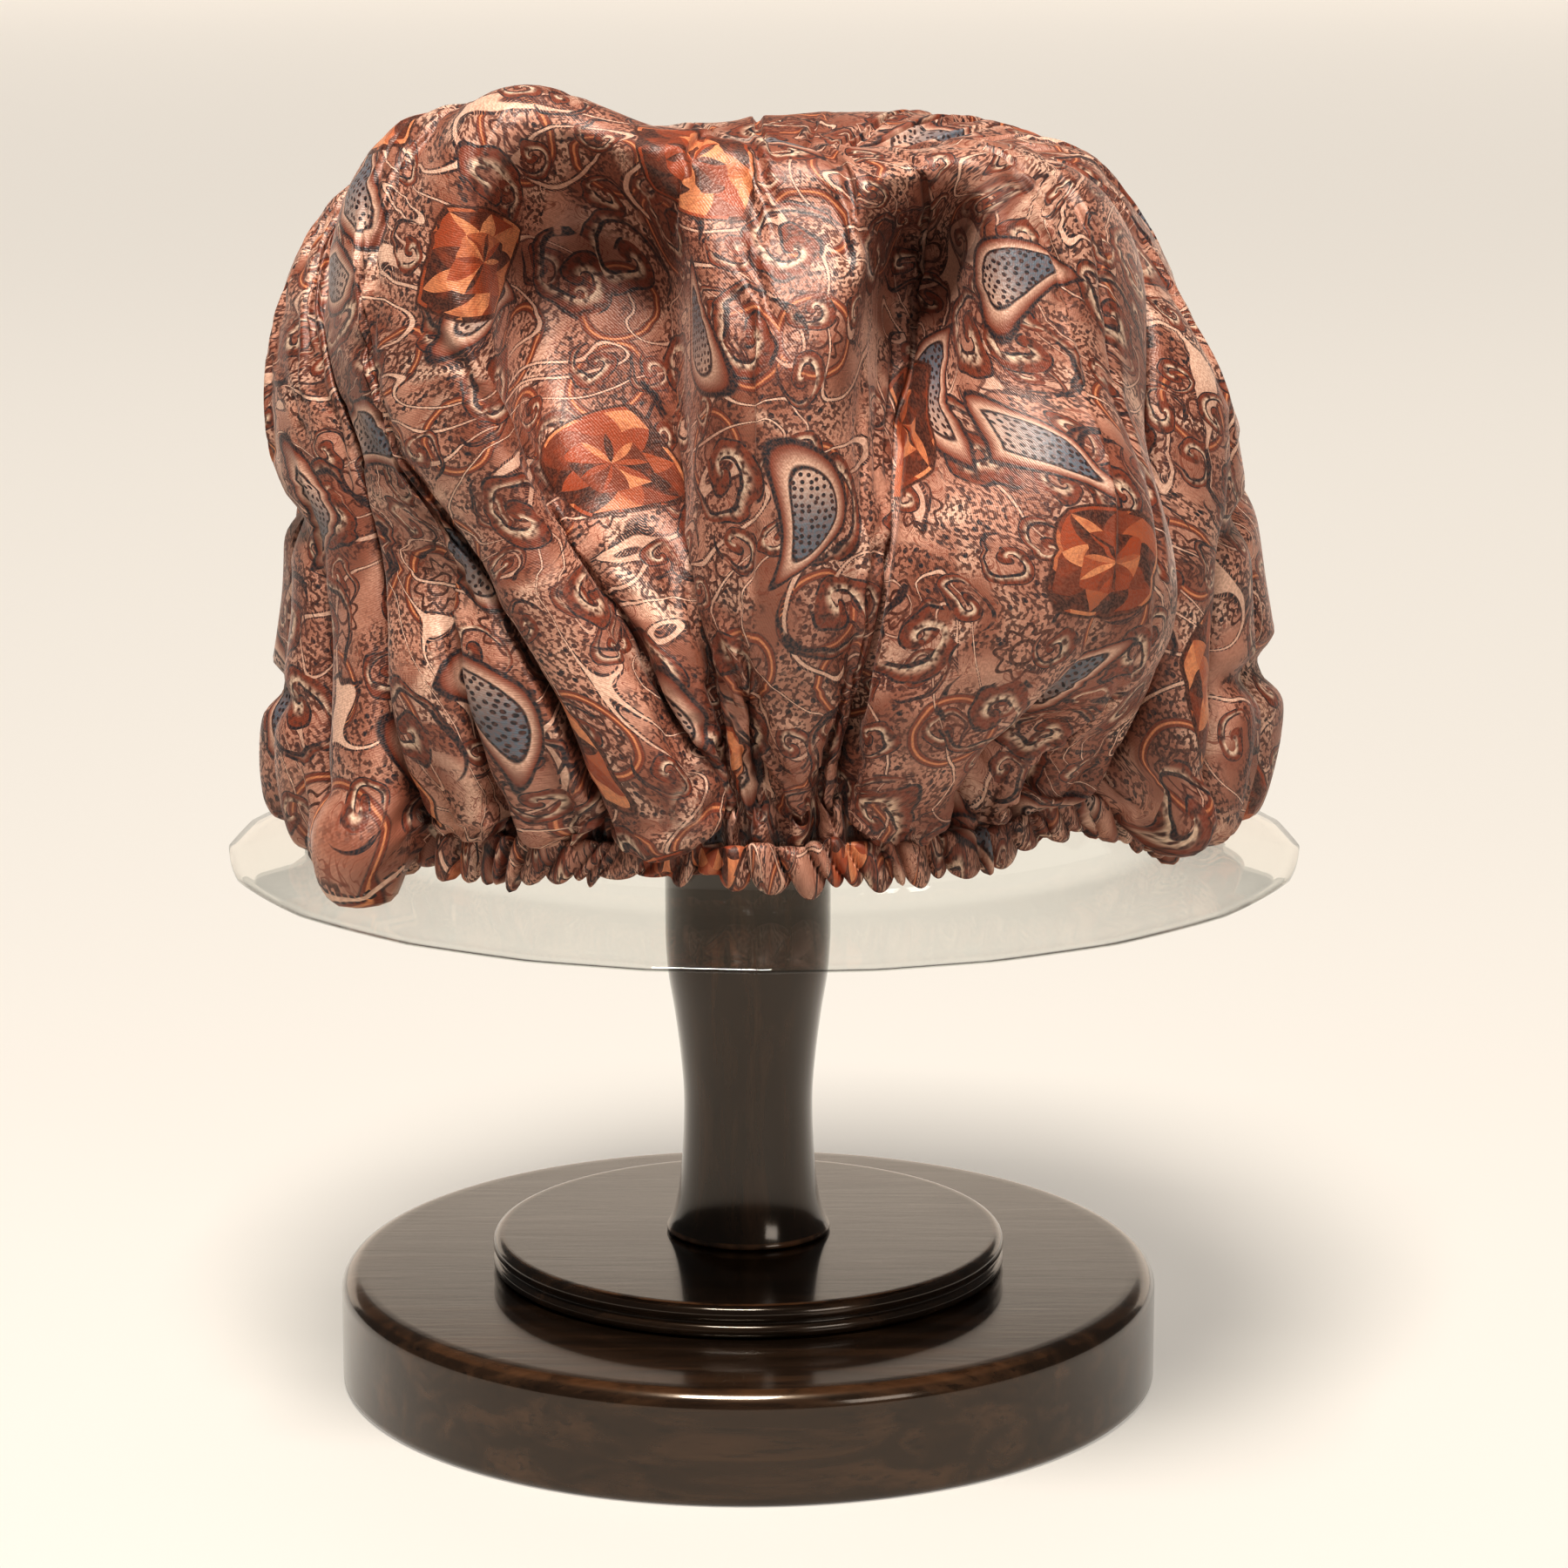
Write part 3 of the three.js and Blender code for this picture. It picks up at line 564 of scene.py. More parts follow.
def base_plate():
    edge = BASE_EDGE_ROUND
    return turned("wooden_base", [
        (0, BASE_HEIGHT),
        (0.03, BASE_HEIGHT),
        (BASE_RADIUS - edge - 0.002, BASE_HEIGHT),
        *arc((BASE_RADIUS - edge, BASE_HEIGHT - edge), edge, 90, 0, 12),
        (BASE_RADIUS, BASE_LOW_EDGE + 0.001),
        (BASE_RADIUS, BASE_LOW_EDGE),
        (BASE_RADIUS - BASE_LOW_EDGE, 0),
        (BASE_RADIUS - 0.004, 0),
        (0, 0),
    ], TURNED_SIDES)


def base_tier():
    """Raised disc with a bead, a groove and a smaller foot bead round its edge."""
    top = tier_high.z
    bottom = tier_low.z
    bead = TIER_BEAD_RADIUS - TIER_FLAT_RADIUS
    foot = (top - 2 * bead - bottom) / 2
    return turned("wooden_tier", [
        (0, top),
        (0.022, top),
        (TIER_FLAT_RADIUS - 0.001, top),
        *arc((TIER_FLAT_RADIUS, top - bead), bead, 90, -60, 14),
        (TIER_GROOVE_RADIUS, bottom + 2 * foot),
        *arc((TIER_BEAD_RADIUS - foot, bottom + foot), foot, 60, -60, 8),
        (TIER_BEAD_RADIUS - foot, bottom),
        (0.03, bottom),
        (0, bottom),
    ], TURNED_SIDES)


def post():
    rows = len(POST_WAIST)
    steps = np.linspace(0, rows - 1, 6 * rows)
    heights = curve_through([row[0] for row in POST_WAIST], steps)
    radii = curve_through([row[1] for row in POST_WAIST], steps)
    waist = list(zip(radii, heights))
    return turned("wooden_post", [
        (0, post_high.z),
        (POST_SHAFT_RADIUS - POST_TOP_CHAMFER - 0.0005, post_high.z),
        (POST_SHAFT_RADIUS - POST_TOP_CHAMFER, post_high.z),
        (POST_SHAFT_RADIUS, post_high.z - POST_TOP_CHAMFER),
        (POST_SHAFT_RADIUS, post_high.z - POST_TOP_CHAMFER - 0.0005),
        *reversed(waist),
        (POST_WAIST[0][1], post_low.z + 0.0004),
        (POST_WAIST[0][1] - 0.0003, post_low.z),
        (0, post_low.z),
    ], TURNED_SIDES // 2)


def brim_wobble(angle, radius):
    """The brim's edge was cut in short straight lines, so it is a slightly uneven polygon."""
    corner = angle / (2 * math.pi) * BRIM_CORNERS
    between = (corner + BRIM_UNEVENNESS * np.sin(3 * angle)) % 1 - 0.5
    strength = smooth_step(BRIM_ROUND_RADIUS, BRIM_RADIUS, radius)
    return -BRIM_WOBBLE * strength * (1 - 4 * between * between)


def former():
    """Thin clear wall: the outer face from the brim up to the middle, and the inner face back down."""
    rim = np.array([
        (BRIM_RADIUS, BRIM_EDGE_HEIGHT),
        (BRIM_RADIUS - BRIM_FLANGE, BRIM_EDGE_HEIGHT + 0.0002),
        (BRIM_RADIUS - 2 * BRIM_FLANGE, BRIM_EDGE_HEIGHT + 0.0010),
    ])
    inner_edge = np.array([(BRIM_INNER_RADIUS, BRIM_INNER_HEIGHT)])
    slope = rim[-1] + np.linspace(0, 1, 8)[1:-1, None] * (inner_edge - rim[-1])
    rows = np.linspace(0, len(DOME) - 1, 40)
    dome = np.stack([curve_through(np.array(DOME)[:, side], rows) for side in (0, 1)], -1)
    face = np.concatenate([rim, slope, inner_edge, dome])
    along = np.gradient(face, axis=0)
    along /= np.hypot(*along.T)[:, None]
    inside = face + FORMER_WALL * np.stack([-along[:, 1], along[:, 0]], -1)
    profile = np.concatenate([face[:-1], inside[:-1][::-1]])
    angles = np.linspace(0, 2 * math.pi, FORMER_SIDES, endpoint=False)
    radius = profile[:, :1] + brim_wobble(angles[None, :], profile[:, :1])
    height = profile[:, 1:] + 0 * angles[None, :]
    points = np.stack([SHIFT_X + radius * np.sin(angles), -radius * np.cos(angles), height], -1)
    rings = len(profile)
    points = points.reshape(-1, 3).tolist()
    half = rings // 2
    faces = [quad[::-1] for quad in ring_faces(rings, FORMER_SIDES, closed=True)]
    outer_top = (half - 1) * FORMER_SIDES
    inner_top = half * FORMER_SIDES
    del faces[outer_top:inner_top]
    points.append((SHIFT_X, 0, face[-1][1]))
    points.append((SHIFT_X, 0, face[-1][1] - FORMER_WALL))
    for column in range(FORMER_SIDES):
        beside = (column + 1) % FORMER_SIDES
        faces.append((len(points) - 2, outer_top + column, outer_top + beside))
        faces.append((len(points) - 1, inner_top + beside, inner_top + column))
    return mesh_object("clear_plastic_former", points, faces)


def gathers(width, seed):
    """Azimuths where the gathers of the hem meet: whole gathers between neighbouring folds."""
    draw = np.random.default_rng(seed)
    creases = [fold.azimuth[-1] for fold in FOLDS]
    creases.append(creases[0] + 360)
    edges = []
    for start, end in zip(creases, creases[1:]):
        count = max(1, round(math.radians(end - start) * CASING_RADIUS / width))
        shares = draw.uniform(*GATHER_SPREAD, count)
        edges.extend(start + (np.cumsum(shares) - shares) / shares.sum() * (end - start))
    return np.array(edges)


def gather_shape(edges, azimuth):
    """Number of the gather at each azimuth, and its rounded outline from 0 at its edges to 1."""
    around = np.append(edges, edges[0] + 360)
    inside = edges[0] + (azimuth - edges[0]) % 360
    number = np.clip(np.searchsorted(around, inside, side="right") - 1, 0, len(edges) - 1)
    share = (inside - around[number]) / (around[number + 1] - around[number])
    return number, np.clip(np.sin(math.pi * share), 0, 1) ** GATHER_SHARPNESS


def midpoints(values, axis):
    """Values halfway between neighbours, on a cubic curve through four of them."""
    near = values + np.roll(values, -1, axis)
    far = np.roll(values, 1, axis) + np.roll(values, -2, axis)
    return (9 * near - far) / 16


def finer(values):
    """A grid with a new row and column between each two. Its columns close on themselves."""
    rows, columns, size = values.shape
    wide = np.stack([values, midpoints(values, 1)], 2).reshape(rows, 2 * columns, size)
    padded = np.concatenate([2 * wide[:1] - wide[1:2], wide, 2 * wide[-1:] - wide[-2:-1]])
    tall = np.empty((2 * rows - 1, 2 * columns, size))
    tall[::2] = wide
    tall[1::2] = midpoints(padded, 0)[1:-2]
    return tall


def crown_mesh(name, points, middle):
    rows, columns, _ = points.shape
    faces = ring_faces(rows, columns)
    faces += [(rows * columns, column, (column + 1) % columns) for column in range(columns)]
    return mesh_object(name, np.concatenate([points.reshape(-1, 3), middle]), faces)


def on_flat_cloth(angle, radius):
    return np.stack([radius * np.sin(angle), -radius * np.cos(angle)], -1)


def set_chart(piece, corners):
    layer = piece.data.uv_layers.new(name=CHART)
    layer.data.foreach_set("uv", corners.ravel())


def chart_down(points, middle, per_fold):
    """How far down the flat cut each point lies, in metres."""
    down = np.linalg.norm(np.diff(points, axis=0), axis=-1)
    down = np.minimum(down, CHART_SPREAD * np.median(down, axis=1, keepdims=True))
    down = sum(np.roll(down, shift, 1) for shift in range(-per_fold, per_fold + 1)) / (2 * per_fold + 1)
    first = np.linalg.norm(points[:1] - middle, axis=-1)
    return first + np.concatenate([np.zeros_like(first), np.cumsum(down, 0)])


def chart_around(step, tucked, azimuth, levels):
    """Angle of each face's left and right side on the flat cut. tucked is how much cloth each
    crease may hide. Near the hem the cloth of each lobe runs straight down."""
    rows, columns = step.shape
    real = step.reshape(rows, len(FOLDS), -1)
    spare = np.maximum(2 * math.pi - step.sum(1), 0)
    hidden = tucked * np.minimum(1, spare / np.maximum(tucked.sum(1), 0.001))[:, None]
    wide = real * ((2 * math.pi - hidden.sum(1)) / step.sum(1))[:, None, None]
    span = wide.sum(2) + hidden
    start = np.cumsum(span, 1) - span
    left = (start + hidden)[..., None] + np.cumsum(wide, 2) - wide
    middles = [np.interp(REFERENCE_AZIMUTH, *pair) for pair in zip(azimuth, left.reshape(rows, columns))]
    start -= np.array(middles)[:, None]
    fixed = np.minimum(np.arange(rows), np.searchsorted(levels, STRAIGHT_BELOW))
    start, span = start[fixed], span[fixed]
    most = np.where(levels[:, None] < STRAIGHT_BELOW, hidden, tucked)
    hidden = np.minimum(np.maximum(span - real.sum(2), 0), most)
    wide = real * ((span - hidden) / real.sum(2))[..., None]
    right = (start + hidden)[..., None] + np.cumsum(wide, 2)
    return (right - wide).reshape(rows, columns), right.reshape(rows, columns)


def crown_chart(points, middle, azimuth, levels):
    """Place of each face's corners on the flat round cut, in metres. The print keeps its scale on
    the lobes, because cloth that a deep crease hides is left out between them."""
    per_fold = points.shape[1] // len(FOLDS)
    radius = chart_down(points, middle, per_fold)
    step = np.linalg.norm(np.roll(points, -1, 1) - points, axis=-1) / radius
    depths = np.stack([fold_depth(fold, levels) for fold in FOLDS], 1)
    from_left, to_right = chart_around(step, CREASE_HIDES * depths / radius[:, ::per_fold], azimuth, levels)
    left = on_flat_cloth(from_left, radius)
    right = on_flat_cloth(to_right, np.roll(radius, -1, 1))
    sides = np.stack([left[:-1], left[1:], right[1:], right[:-1]], 2).reshape(-1, 2)
    top = np.stack([np.zeros_like(left[0]), left[0], right[0]], 1).reshape(-1, 2)
    return np.concatenate([sides, top])


def settle(points, middle, levels):
    """Cloth simulation: a little too much cloth round the bonnet settles into wrinkles by itself."""
    columns = points.shape[1]
    cloth = crown_mesh("settling", points, middle)
    count = len(cloth.data.vertices)
    hold = cloth.vertex_groups.new(name="hold")
    hold.add([count - 1], FOLLOW_SHAPE, "REPLACE")
    for row, level in enumerate(levels):
        weight = FOLLOW_SHAPE + (1 - FOLLOW_SHAPE) * float(smooth_step(*HELD_LEVELS, level))
        hold.add(list(range(row * columns, (row + 1) * columns)), weight, "REPLACE")
    cloth.shape_key_add(name="start")
    spare = cloth.shape_key_add(name="spare")
    place = np.concatenate([points.reshape(-1, 3), middle])
    place[:, :2] *= SPARE_CLOTH
    spare.data.foreach_set("co", place.ravel())
    modifier = cloth.modifiers.new("cloth", "CLOTH")
    modifier.point_cache.frame_end = SETTLE_FRAMES
    modifier.settings.rest_shape_key = spare
    modifier.settings.vertex_group_mass = "hold"
    modifier.settings.effector_weights.gravity = 0
    for name, value in CLOTH_SETTINGS.items():
        setattr(modifier.settings, name, value)
    for name, value in TOUCH_SETTINGS.items():
        setattr(modifier.collision_settings, name, value)
    for step in range(1, SETTLE_FRAMES + 1):
        bpy.context.scene.frame_set(step)
    settled = cloth.evaluated_get(bpy.context.evaluated_depsgraph_get())
    place = np.empty(count * 3)
    settled.data.vertices.foreach_get("co", place)
    place = place.reshape(-1, 3)
    bpy.data.objects.remove(cloth)
    bpy.context.scene.frame_set(1)
    return place[:-1].reshape(points.shape), place[-1:]


def pleated(points, levels, feet):
    """Draws small pleats into the crown above the hem, and tucks its edge in behind the casing."""
    edges = gathers(PLEAT_WIDTH, PLEAT_SEED)
    draw = np.random.default_rng(PLEAT_DRAW_SEED)
    top = draw.uniform(*PLEAT_TOPS, len(edges))
    strength = draw.uniform(*PLEAT_STRENGTH, len(edges))
    number, shape = gather_shape(edges, feet)
    fade = smooth_step(top[number][None, :], PLEAT_FOOT, levels[:, None])
    inwards = PLEAT_DEPTH * strength[number] * (1 - shape) * fade
    _, flute = gather_shape(gathers(FLUTE_WIDTH, FLUTE_SEED), feet)
    inwards += FLUTE_RISE * (1 - flute) * smooth_step(FLUTE_TOP, PLEAT_FOOT, levels[:, None])
    out = points[..., :2] - (SHIFT_X, 0)
    reach = np.linalg.norm(out, axis=-1)
    free = np.maximum(reach - inwards, dome_radius(points[..., 2]) + DOME_CLEARANCE)
    tuck = smooth_step(TUCK_TOP, 1, levels)[:, None]
    kept = np.minimum(free, reach) - TUCK_IN * tuck
    points = points.copy()
    points[..., :2] = (SHIFT_X, 0) + out * (kept / reach)[..., None]
    points[..., 2] -= TUCK_DOWN * tuck
    return points


def crown():
    levels = np.linspace(0, 1, CROWN_ROWS + 1)[1:]
    azimuth = column_azimuths(levels, COLUMNS_PER_FOLD)
    level = levels[:, None] + 0 * azimuth
    points = crown_surface(azimuth, level)
    middle = crown_surface(np.zeros((1, 1)), np.zeros((1, 1)))[0]
    points, middle = settle(points, middle, levels)
    points = finer(points)
    grid = finer(np.stack([azimuth, level], -1))
    points = pleated(points, grid[:, 0, 1], grid[-1, :, 0])
    piece = crown_mesh("silk_bonnet", points, middle)
    corners = crown_chart(points, middle, grid[..., 0], grid[:, 0, 1])
    set_chart(piece, corners)
    return piece


def sum_of_waves(waves, azimuth):
    return sum(wave.height * np.sin(np.radians(azimuth * wave.number + wave.phase)) for wave in waves)


def hem():
    """Ruched casing of the elastic: an oval section taken round the hem in narrow flutes."""
    azimuth = column_azimuths(np.ones(1), CASING_COLUMNS_PER_FOLD)[0]
    edges = gathers(FLUTE_WIDTH, FLUTE_SEED)
    draw = np.random.default_rng(FLUTE_DRAW_SEED)
    drop = draw.uniform(*FLUTE_DROP, len(edges))
    lift = draw.uniform(*FLUTE_LIFT, len(edges))
    drop += sum_of_waves(FLUTE_WAVES, edges)
    push = draw.uniform(*FLUTE_PUSH, len(edges))
    slant = sum_of_waves(FLUTE_SLANT, azimuth)
    angle = np.radians(azimuth)
    points = []
    for step in range(CASING_SECTION_POINTS):
        turn = 2 * math.pi * (step + 0.5) / CASING_SECTION_POINTS + math.pi
        across = math.copysign(abs(math.cos(turn)) ** CASING_SQUARENESS, math.cos(turn))
        up = math.sin(-turn)
        number, shape = gather_shape(edges, azimuth + up * slant)
        flute = push[number] * shape - FLUTE_DEPTH * (1 - shape) * abs(across)
        radius = CASING_RADIUS + across * CASING_HALF_WIDTH + (across > 0) * flute
        height = CASING_BOTTOM + CASING_HEIGHT / 2 * (1 + up) + hem_lift(azimuth)
        height += max(-up, 0) * (FLUTE_SCALLOP * (1 - shape) - drop[number] * shape)
        height += max(up, 0) * lift[number] * shape
        points.append(np.stack([SHIFT_X + radius * np.sin(angle), -radius * np.cos(angle), height], -1))
    points = np.array(points)
    faces = ring_faces(len(points), len(azimuth), closed=True)
    piece = mesh_object("ruched_hem", points.reshape(-1, 3), faces)
    angle = np.radians(np.append(azimuth, azimuth[0] + 360))
    radius = CLOTH_LENGTH + CASING_WRAP * CASING_HEIGHT * np.arange(len(points) + 1) / len(points)
    flat = on_flat_cloth(angle[None, :], radius[:, None])
    corners = np.stack([flat[:-1, :-1], flat[1:, :-1], flat[1:, 1:], flat[:-1, 1:]], 2)
    set_chart(piece, corners)
    return piece


# Materials

class Field:
    """A value that varies over a surface. Arithmetic on it adds nodes to its tree."""

    def __init__(self, tree, socket):
        self.tree = tree
        self.socket = socket

    def math(self, operation, *others):
        node = self.tree.nodes.new("ShaderNodeMath")
        node.operation = operation
        for place, value in enumerate((self, *others)):
            plug(self.tree, value, node.inputs[place])
        return Field(self.tree, node.outputs[0])

    def __add__(self, other):
        return self.math("ADD", other)

    def __sub__(self, other):
        return self.math("SUBTRACT", other)

    def __mul__(self, other):
        return self.math("MULTIPLY", other)

    def __truediv__(self, other):
        return self.math("DIVIDE", other)

    def __pow__(self, other):
        return self.math("POWER", other)

    def size(self):
        return self.math("ABSOLUTE")

    def part(self):
        """What is left above the whole number below."""
        return self.math("FRACT")

    def whole(self):
        return self.math("FLOOR")

    def sine(self):
        return self.math("SINE")

    def between(self, low, high):
        """0 below low and 1 above high, or the other way round where low is above high."""
        node = self.tree.nodes.new("ShaderNodeMapRange")
        node.interpolation_type = "SMOOTHSTEP"
        plug(self.tree, self, node.inputs["Value"])
        plug(self.tree, low, node.inputs["From Min"])
        plug(self.tree, high, node.inputs["From Max"])
        return Field(self.tree, node.outputs["Result"])

    def paint(self, under, over):
        """Colour over on top of colour under, as far as this value says."""
        node = self.tree.nodes.new("ShaderNodeMix")
        node.data_type = "RGBA"
        plug(self.tree, self, node.inputs[0])
        plug(self.tree, under, node.inputs[6])
        plug(self.tree, over, node.inputs[7])
        return Field(self.tree, node.outputs[2])


def plug(tree, value, socket):
    if isinstance(value, Field):
        tree.links.new(value.socket, socket)
    elif isinstance(value, tuple) and socket.type == "RGBA":
        socket.default_value = (*value, 1)
    else:
        socket.default_value = value


def parts_of(vector):
    node = vector.tree.nodes.new("ShaderNodeSeparateXYZ")
    plug(vector.tree, vector, node.inputs[0])
    return [Field(vector.tree, output) for output in node.outputs]


def joined(x, y, z=0.0):
    node = x.tree.nodes.new("ShaderNodeCombineXYZ")
    for value, socket in zip((x, y, z), node.inputs):
        plug(x.tree, value, socket)
    return Field(x.tree, node.outputs[0])


def vector_math(operation, vector, other):
    node = vector.tree.nodes.new("ShaderNodeVectorMath")
    node.operation = operation
    plug(vector.tree, vector, node.inputs[0])
    plug(vector.tree, other, node.inputs["Scale" if operation == "SCALE" else 1])
    return Field(vector.tree, node.outputs[0])


def noise(vector, size, detail=2.0, distortion=0.0, colour=False, dimensions="2D"):
    node = vector.tree.nodes.new("ShaderNodeTexNoise")
    node.noise_dimensions = dimensions
    plug(vector.tree, vector, node.inputs["Vector"])
    node.inputs["Scale"].default_value = 1 / size
    node.inputs["Detail"].default_value = detail
    node.inputs["Distortion"].default_value = distortion
    return Field(vector.tree, node.outputs["Color" if colour else "Fac"])


def spots(vector, size, feature="F1", randomness=1.0):
    node = vector.tree.nodes.new("ShaderNodeTexVoronoi")
    node.voronoi_dimensions = "2D"
    node.feature = feature
    plug(vector.tree, vector, node.inputs["Vector"])
    node.inputs["Scale"].default_value = 1 / size
    node.inputs["Randomness"].default_value = randomness
    return node


def noise_3d(vector, size, detail, distortion=0.0):
    return noise(vector, size, detail, distortion, dimensions="3D")


def distance_to_spots(vector, size, feature="F1", randomness=1.0):
    return Field(vector.tree, spots(vector, size, feature, randomness).outputs["Distance"])


def chance(x, y, z):
    """A random value for each set of three numbers."""
    node = x.tree.nodes.new("ShaderNodeTexWhiteNoise")
    plug(x.tree, joined(x, y, z), node.inputs["Vector"])
    return Field(x.tree, node.outputs["Value"])


def motif_places(cloth, spacing, offset, randomness=0.6):
    """Scattered places for a motif: x and y from its middle in spacings, turned at random,
    three random values of its own, and how far it is to the next place."""
    tree = cloth.tree
    moved = vector_math("ADD", cloth, (offset, offset * 0.7, 0.0))
    node = spots(moved, spacing, "F1", randomness)
    local = vector_math("SUBTRACT", moved, Field(tree, node.outputs["Position"]))
    local = vector_math("SCALE", local, 1 / spacing)
    values = parts_of(Field(tree, node.outputs["Color"]))
    turn = tree.nodes.new("ShaderNodeVectorRotate")
    turn.rotation_type = "Z_AXIS"
    plug(tree, local, turn.inputs["Vector"])
    plug(tree, values[0] * (2 * math.pi), turn.inputs["Angle"])
    x, y, _ = parts_of(Field(tree, turn.outputs[0]))
    return x, y, values, distance_to_spots(moved, spacing, "DISTANCE_TO_EDGE", randomness)


def radius_of(x, y):
    return (x * x + y * y).math("SQRT")


def outline(distance, edge, width):
    """1 within width of the place where distance passes edge."""
    return (distance - edge).size().between(width, width * 0.55)


# Layers of the print, each painted over the colour below

def ground(cloth):
    tone = noise(cloth, GROUND_PATCH, 2.0)
    colour = tone.between(0.36, 0.62).paint(DUSKY, PINK_TAN)
    return noise(cloth, PALE_PATCH, 1.0, 0.6).between(0.52, 0.74).paint(colour, SAND)


def lace(cloth, colour):
    """Brown stipple in patches, with thin curling lines beside them."""
    patch = noise(cloth, LACE_PATCH, 2.0, 0.8)
    stipple = noise(cloth, STIPPLE_SIZE, 1.0).between(0.47, 0.57)
    colour = (stipple * patch.between(0.37, 0.50) * 0.90).paint(colour, BROWN)
    contour = noise(cloth, CURL_SIZE, 1.0, 2.0) * 5.0
    curls = (contour.part() - 0.5).size().between(0.12, 0.05)
    beside = patch.between(0.50, 0.44) * noise(cloth, PALE_PATCH).between(0.38, 0.48)
    colour = (curls * beside * 0.75).paint(colour, RUST)
    seeds = distance_to_spots(cloth, SEED_SPACING).between(0.20, 0.14)
    return (seeds * patch.between(0.46, 0.52)).paint(colour, NAVY)


def rosettes(cloth, colour):
    """Round lace flowers with a rust ring."""
    x, y, value, _ = motif_places(cloth, ROSETTE_SPACING, 0.31)
    radius = radius_of(x, y)
    petals = (y.math("ARCTAN2", x) * 8.0).sine() * 0.035 + 0.20
    colour = (outline(radius, petals, 0.022) * value[1].between(0.3, 0.32)).paint(colour, BROWN)
    colour = (outline(radius, 0.10, 0.018) * value[1].between(0.3, 0.32)).paint(colour, BROWN)
    ring = (radius - 0.33).size()
    shown = value[2].between(0.55, 0.57)
    colour = (ring.between(0.055, 0.035) * shown).paint(colour, NAVY)
    colour = (ring.between(0.042, 0.030) * shown).paint(colour, RUST)
    return (ring.between(0.016, 0.004) * shown).paint(colour, AMBER_LIGHT)


def ribbons(cloth, colour):
    """Flowing pale lines between two dashed ones, along contours."""
    height = noise(cloth, RIBBON_SPACING, 1.0, 1.0) * 7.0
    across = (height.part() - 0.5).size()
    dash = (noise(cloth, 0.012, 0.0) * 26.0).part().between(0.30, 0.36)
    colour = (across.between(0.085, 0.070) * dash).paint(colour, NAVY)
    return across.between(0.042, 0.030).paint(colour, SAND)


def scrolls(cloth, colour, spacing, offset, least):
    """Curling leaves: a spiral band that tapers outwards, outlined in navy."""
    bent = vector_math("ADD", cloth, vector_math("SCALE", noise(cloth, 0.012, 1.0, colour=True), 0.006))
    x, y, value, _ = motif_places(bent, spacing, offset, 0.75)
    radius = radius_of(x, y)
    round_way = y.math("ARCTAN2", x) / (2 * math.pi)
    across = (round_way + radius / 0.30).part() - 0.5
    width = ((radius / 0.47) ** 2.0 * -0.36 + 0.36).math("MAXIMUM", 0.0)
    shown = value[1].between(least, least + 0.02)
    shade = radius.between(0.60, 0.25) * shown * 0.25
    colour = shade.paint(colour, RUST)
    band = across.size()
    inked = noise(cloth, 0.007, 2.0).between(0.36, 0.44)
    edge = (band - width).between(0.03, 0.0) * width.between(0.02, 0.05) * shown
    colour = (edge * inked).paint(colour, NAVY)
    inside = (band - width).between(-0.055, -0.085) * width.between(0.09, 0.12) * shown
    fill = across.between(-0.22, 0.02).paint(CREAM, RUST)
    return inside.paint(colour, noise(cloth, 0.0016, 1.0).between(0.40, 0.75).paint(fill, BROWN))


def paisleys(cloth, colour):
    """Bent drops with a rust border round a dotted blue-grey field."""
    x, y, value, border = motif_places(cloth, DROP_SPACING, 0.83, 0.7)
    bent = x - y * y * 1.5
    width = y * -0.30 + 0.17
    across = bent / width
    inner = radius_of(across, y / 0.34).math("MAXIMUM", border * -5.0 + 1.15)
    shown = value[1].between(0.50, 0.502)
    colour = (inner.between(1.04, 0.99) * shown).paint(colour, NAVY)
    border = inner.between(0.60, 0.92).paint(SAND, RUST)
    colour = (inner.between(0.94, 0.89) * shown).paint(colour, border)
    colour = (inner.between(0.68, 0.63) * shown).paint(colour, NAVY)
    field = y.between(-0.3, 0.1).paint(SAND, BLUE_GREY)
    dots = distance_to_spots(cloth, DROP_DOTS, "F1", 0.5).between(0.34, 0.24)
    field = dots.paint(field, NAVY)
    return (inner.between(0.61, 0.57) * shown).paint(colour, field)


def stones(cloth, colour):
    """Oval cut stones in amber tones, with facets between crossing lines."""
    x, y, value, border = motif_places(cloth, STONE_SPACING, 1.37, 0.65)
    long = y / 0.30
    wide = x / 0.19
    pointed = long.size() ** 1.3 + wide.size() ** 1.3
    inner = pointed.math("MAXIMUM", border * -6.0 + 1.12)
    angle = long.math("ARCTAN2", wide) * (9 / (2 * math.pi))
    ring = (inner * 2.3).whole()
    lean = (inner * 2.3).part() * 0.5
    facet = chance((angle + lean).whole(), (angle - lean).whole() * 3.1 + ring * 7.7, value[0] * 9.0)
    tone = facet.between(0.22, 0.60).paint(AMBER_DARK, AMBER)
    tone = facet.between(0.62, 0.95).paint(tone, AMBER_LIGHT)
    tone = (noise(cloth, 0.003, 3.0).between(0.45, 0.75) * 0.45).paint(tone, AMBER)
    shown = value[1].between(0.28, 0.29)
    colour = (inner.between(1.02, 0.98) * shown).paint(colour, AMBER_DARK)
    return (inner.between(0.95, 0.93) * shown).paint(colour, tone)


def printed_colour(cloth):
    colour = ground(cloth)
    colour = lace(cloth, colour)
    colour = rosettes(cloth, colour)
    colour = ribbons(cloth, colour)
    colour = scrolls(cloth, colour, SMALL_SCROLL_SPACING, 0.53, 0.25)
    colour = scrolls(cloth, colour, LARGE_SCROLL_SPACING, 1.11, 0.30)
    colour = paisleys(cloth, colour)
    return stones(cloth, colour)


# Finishes

def new_material(name):
    material = bpy.data.materials.new(name)
    material.use_nodes = True
    tree = material.node_tree
    return material, tree, tree.nodes["Principled BSDF"]


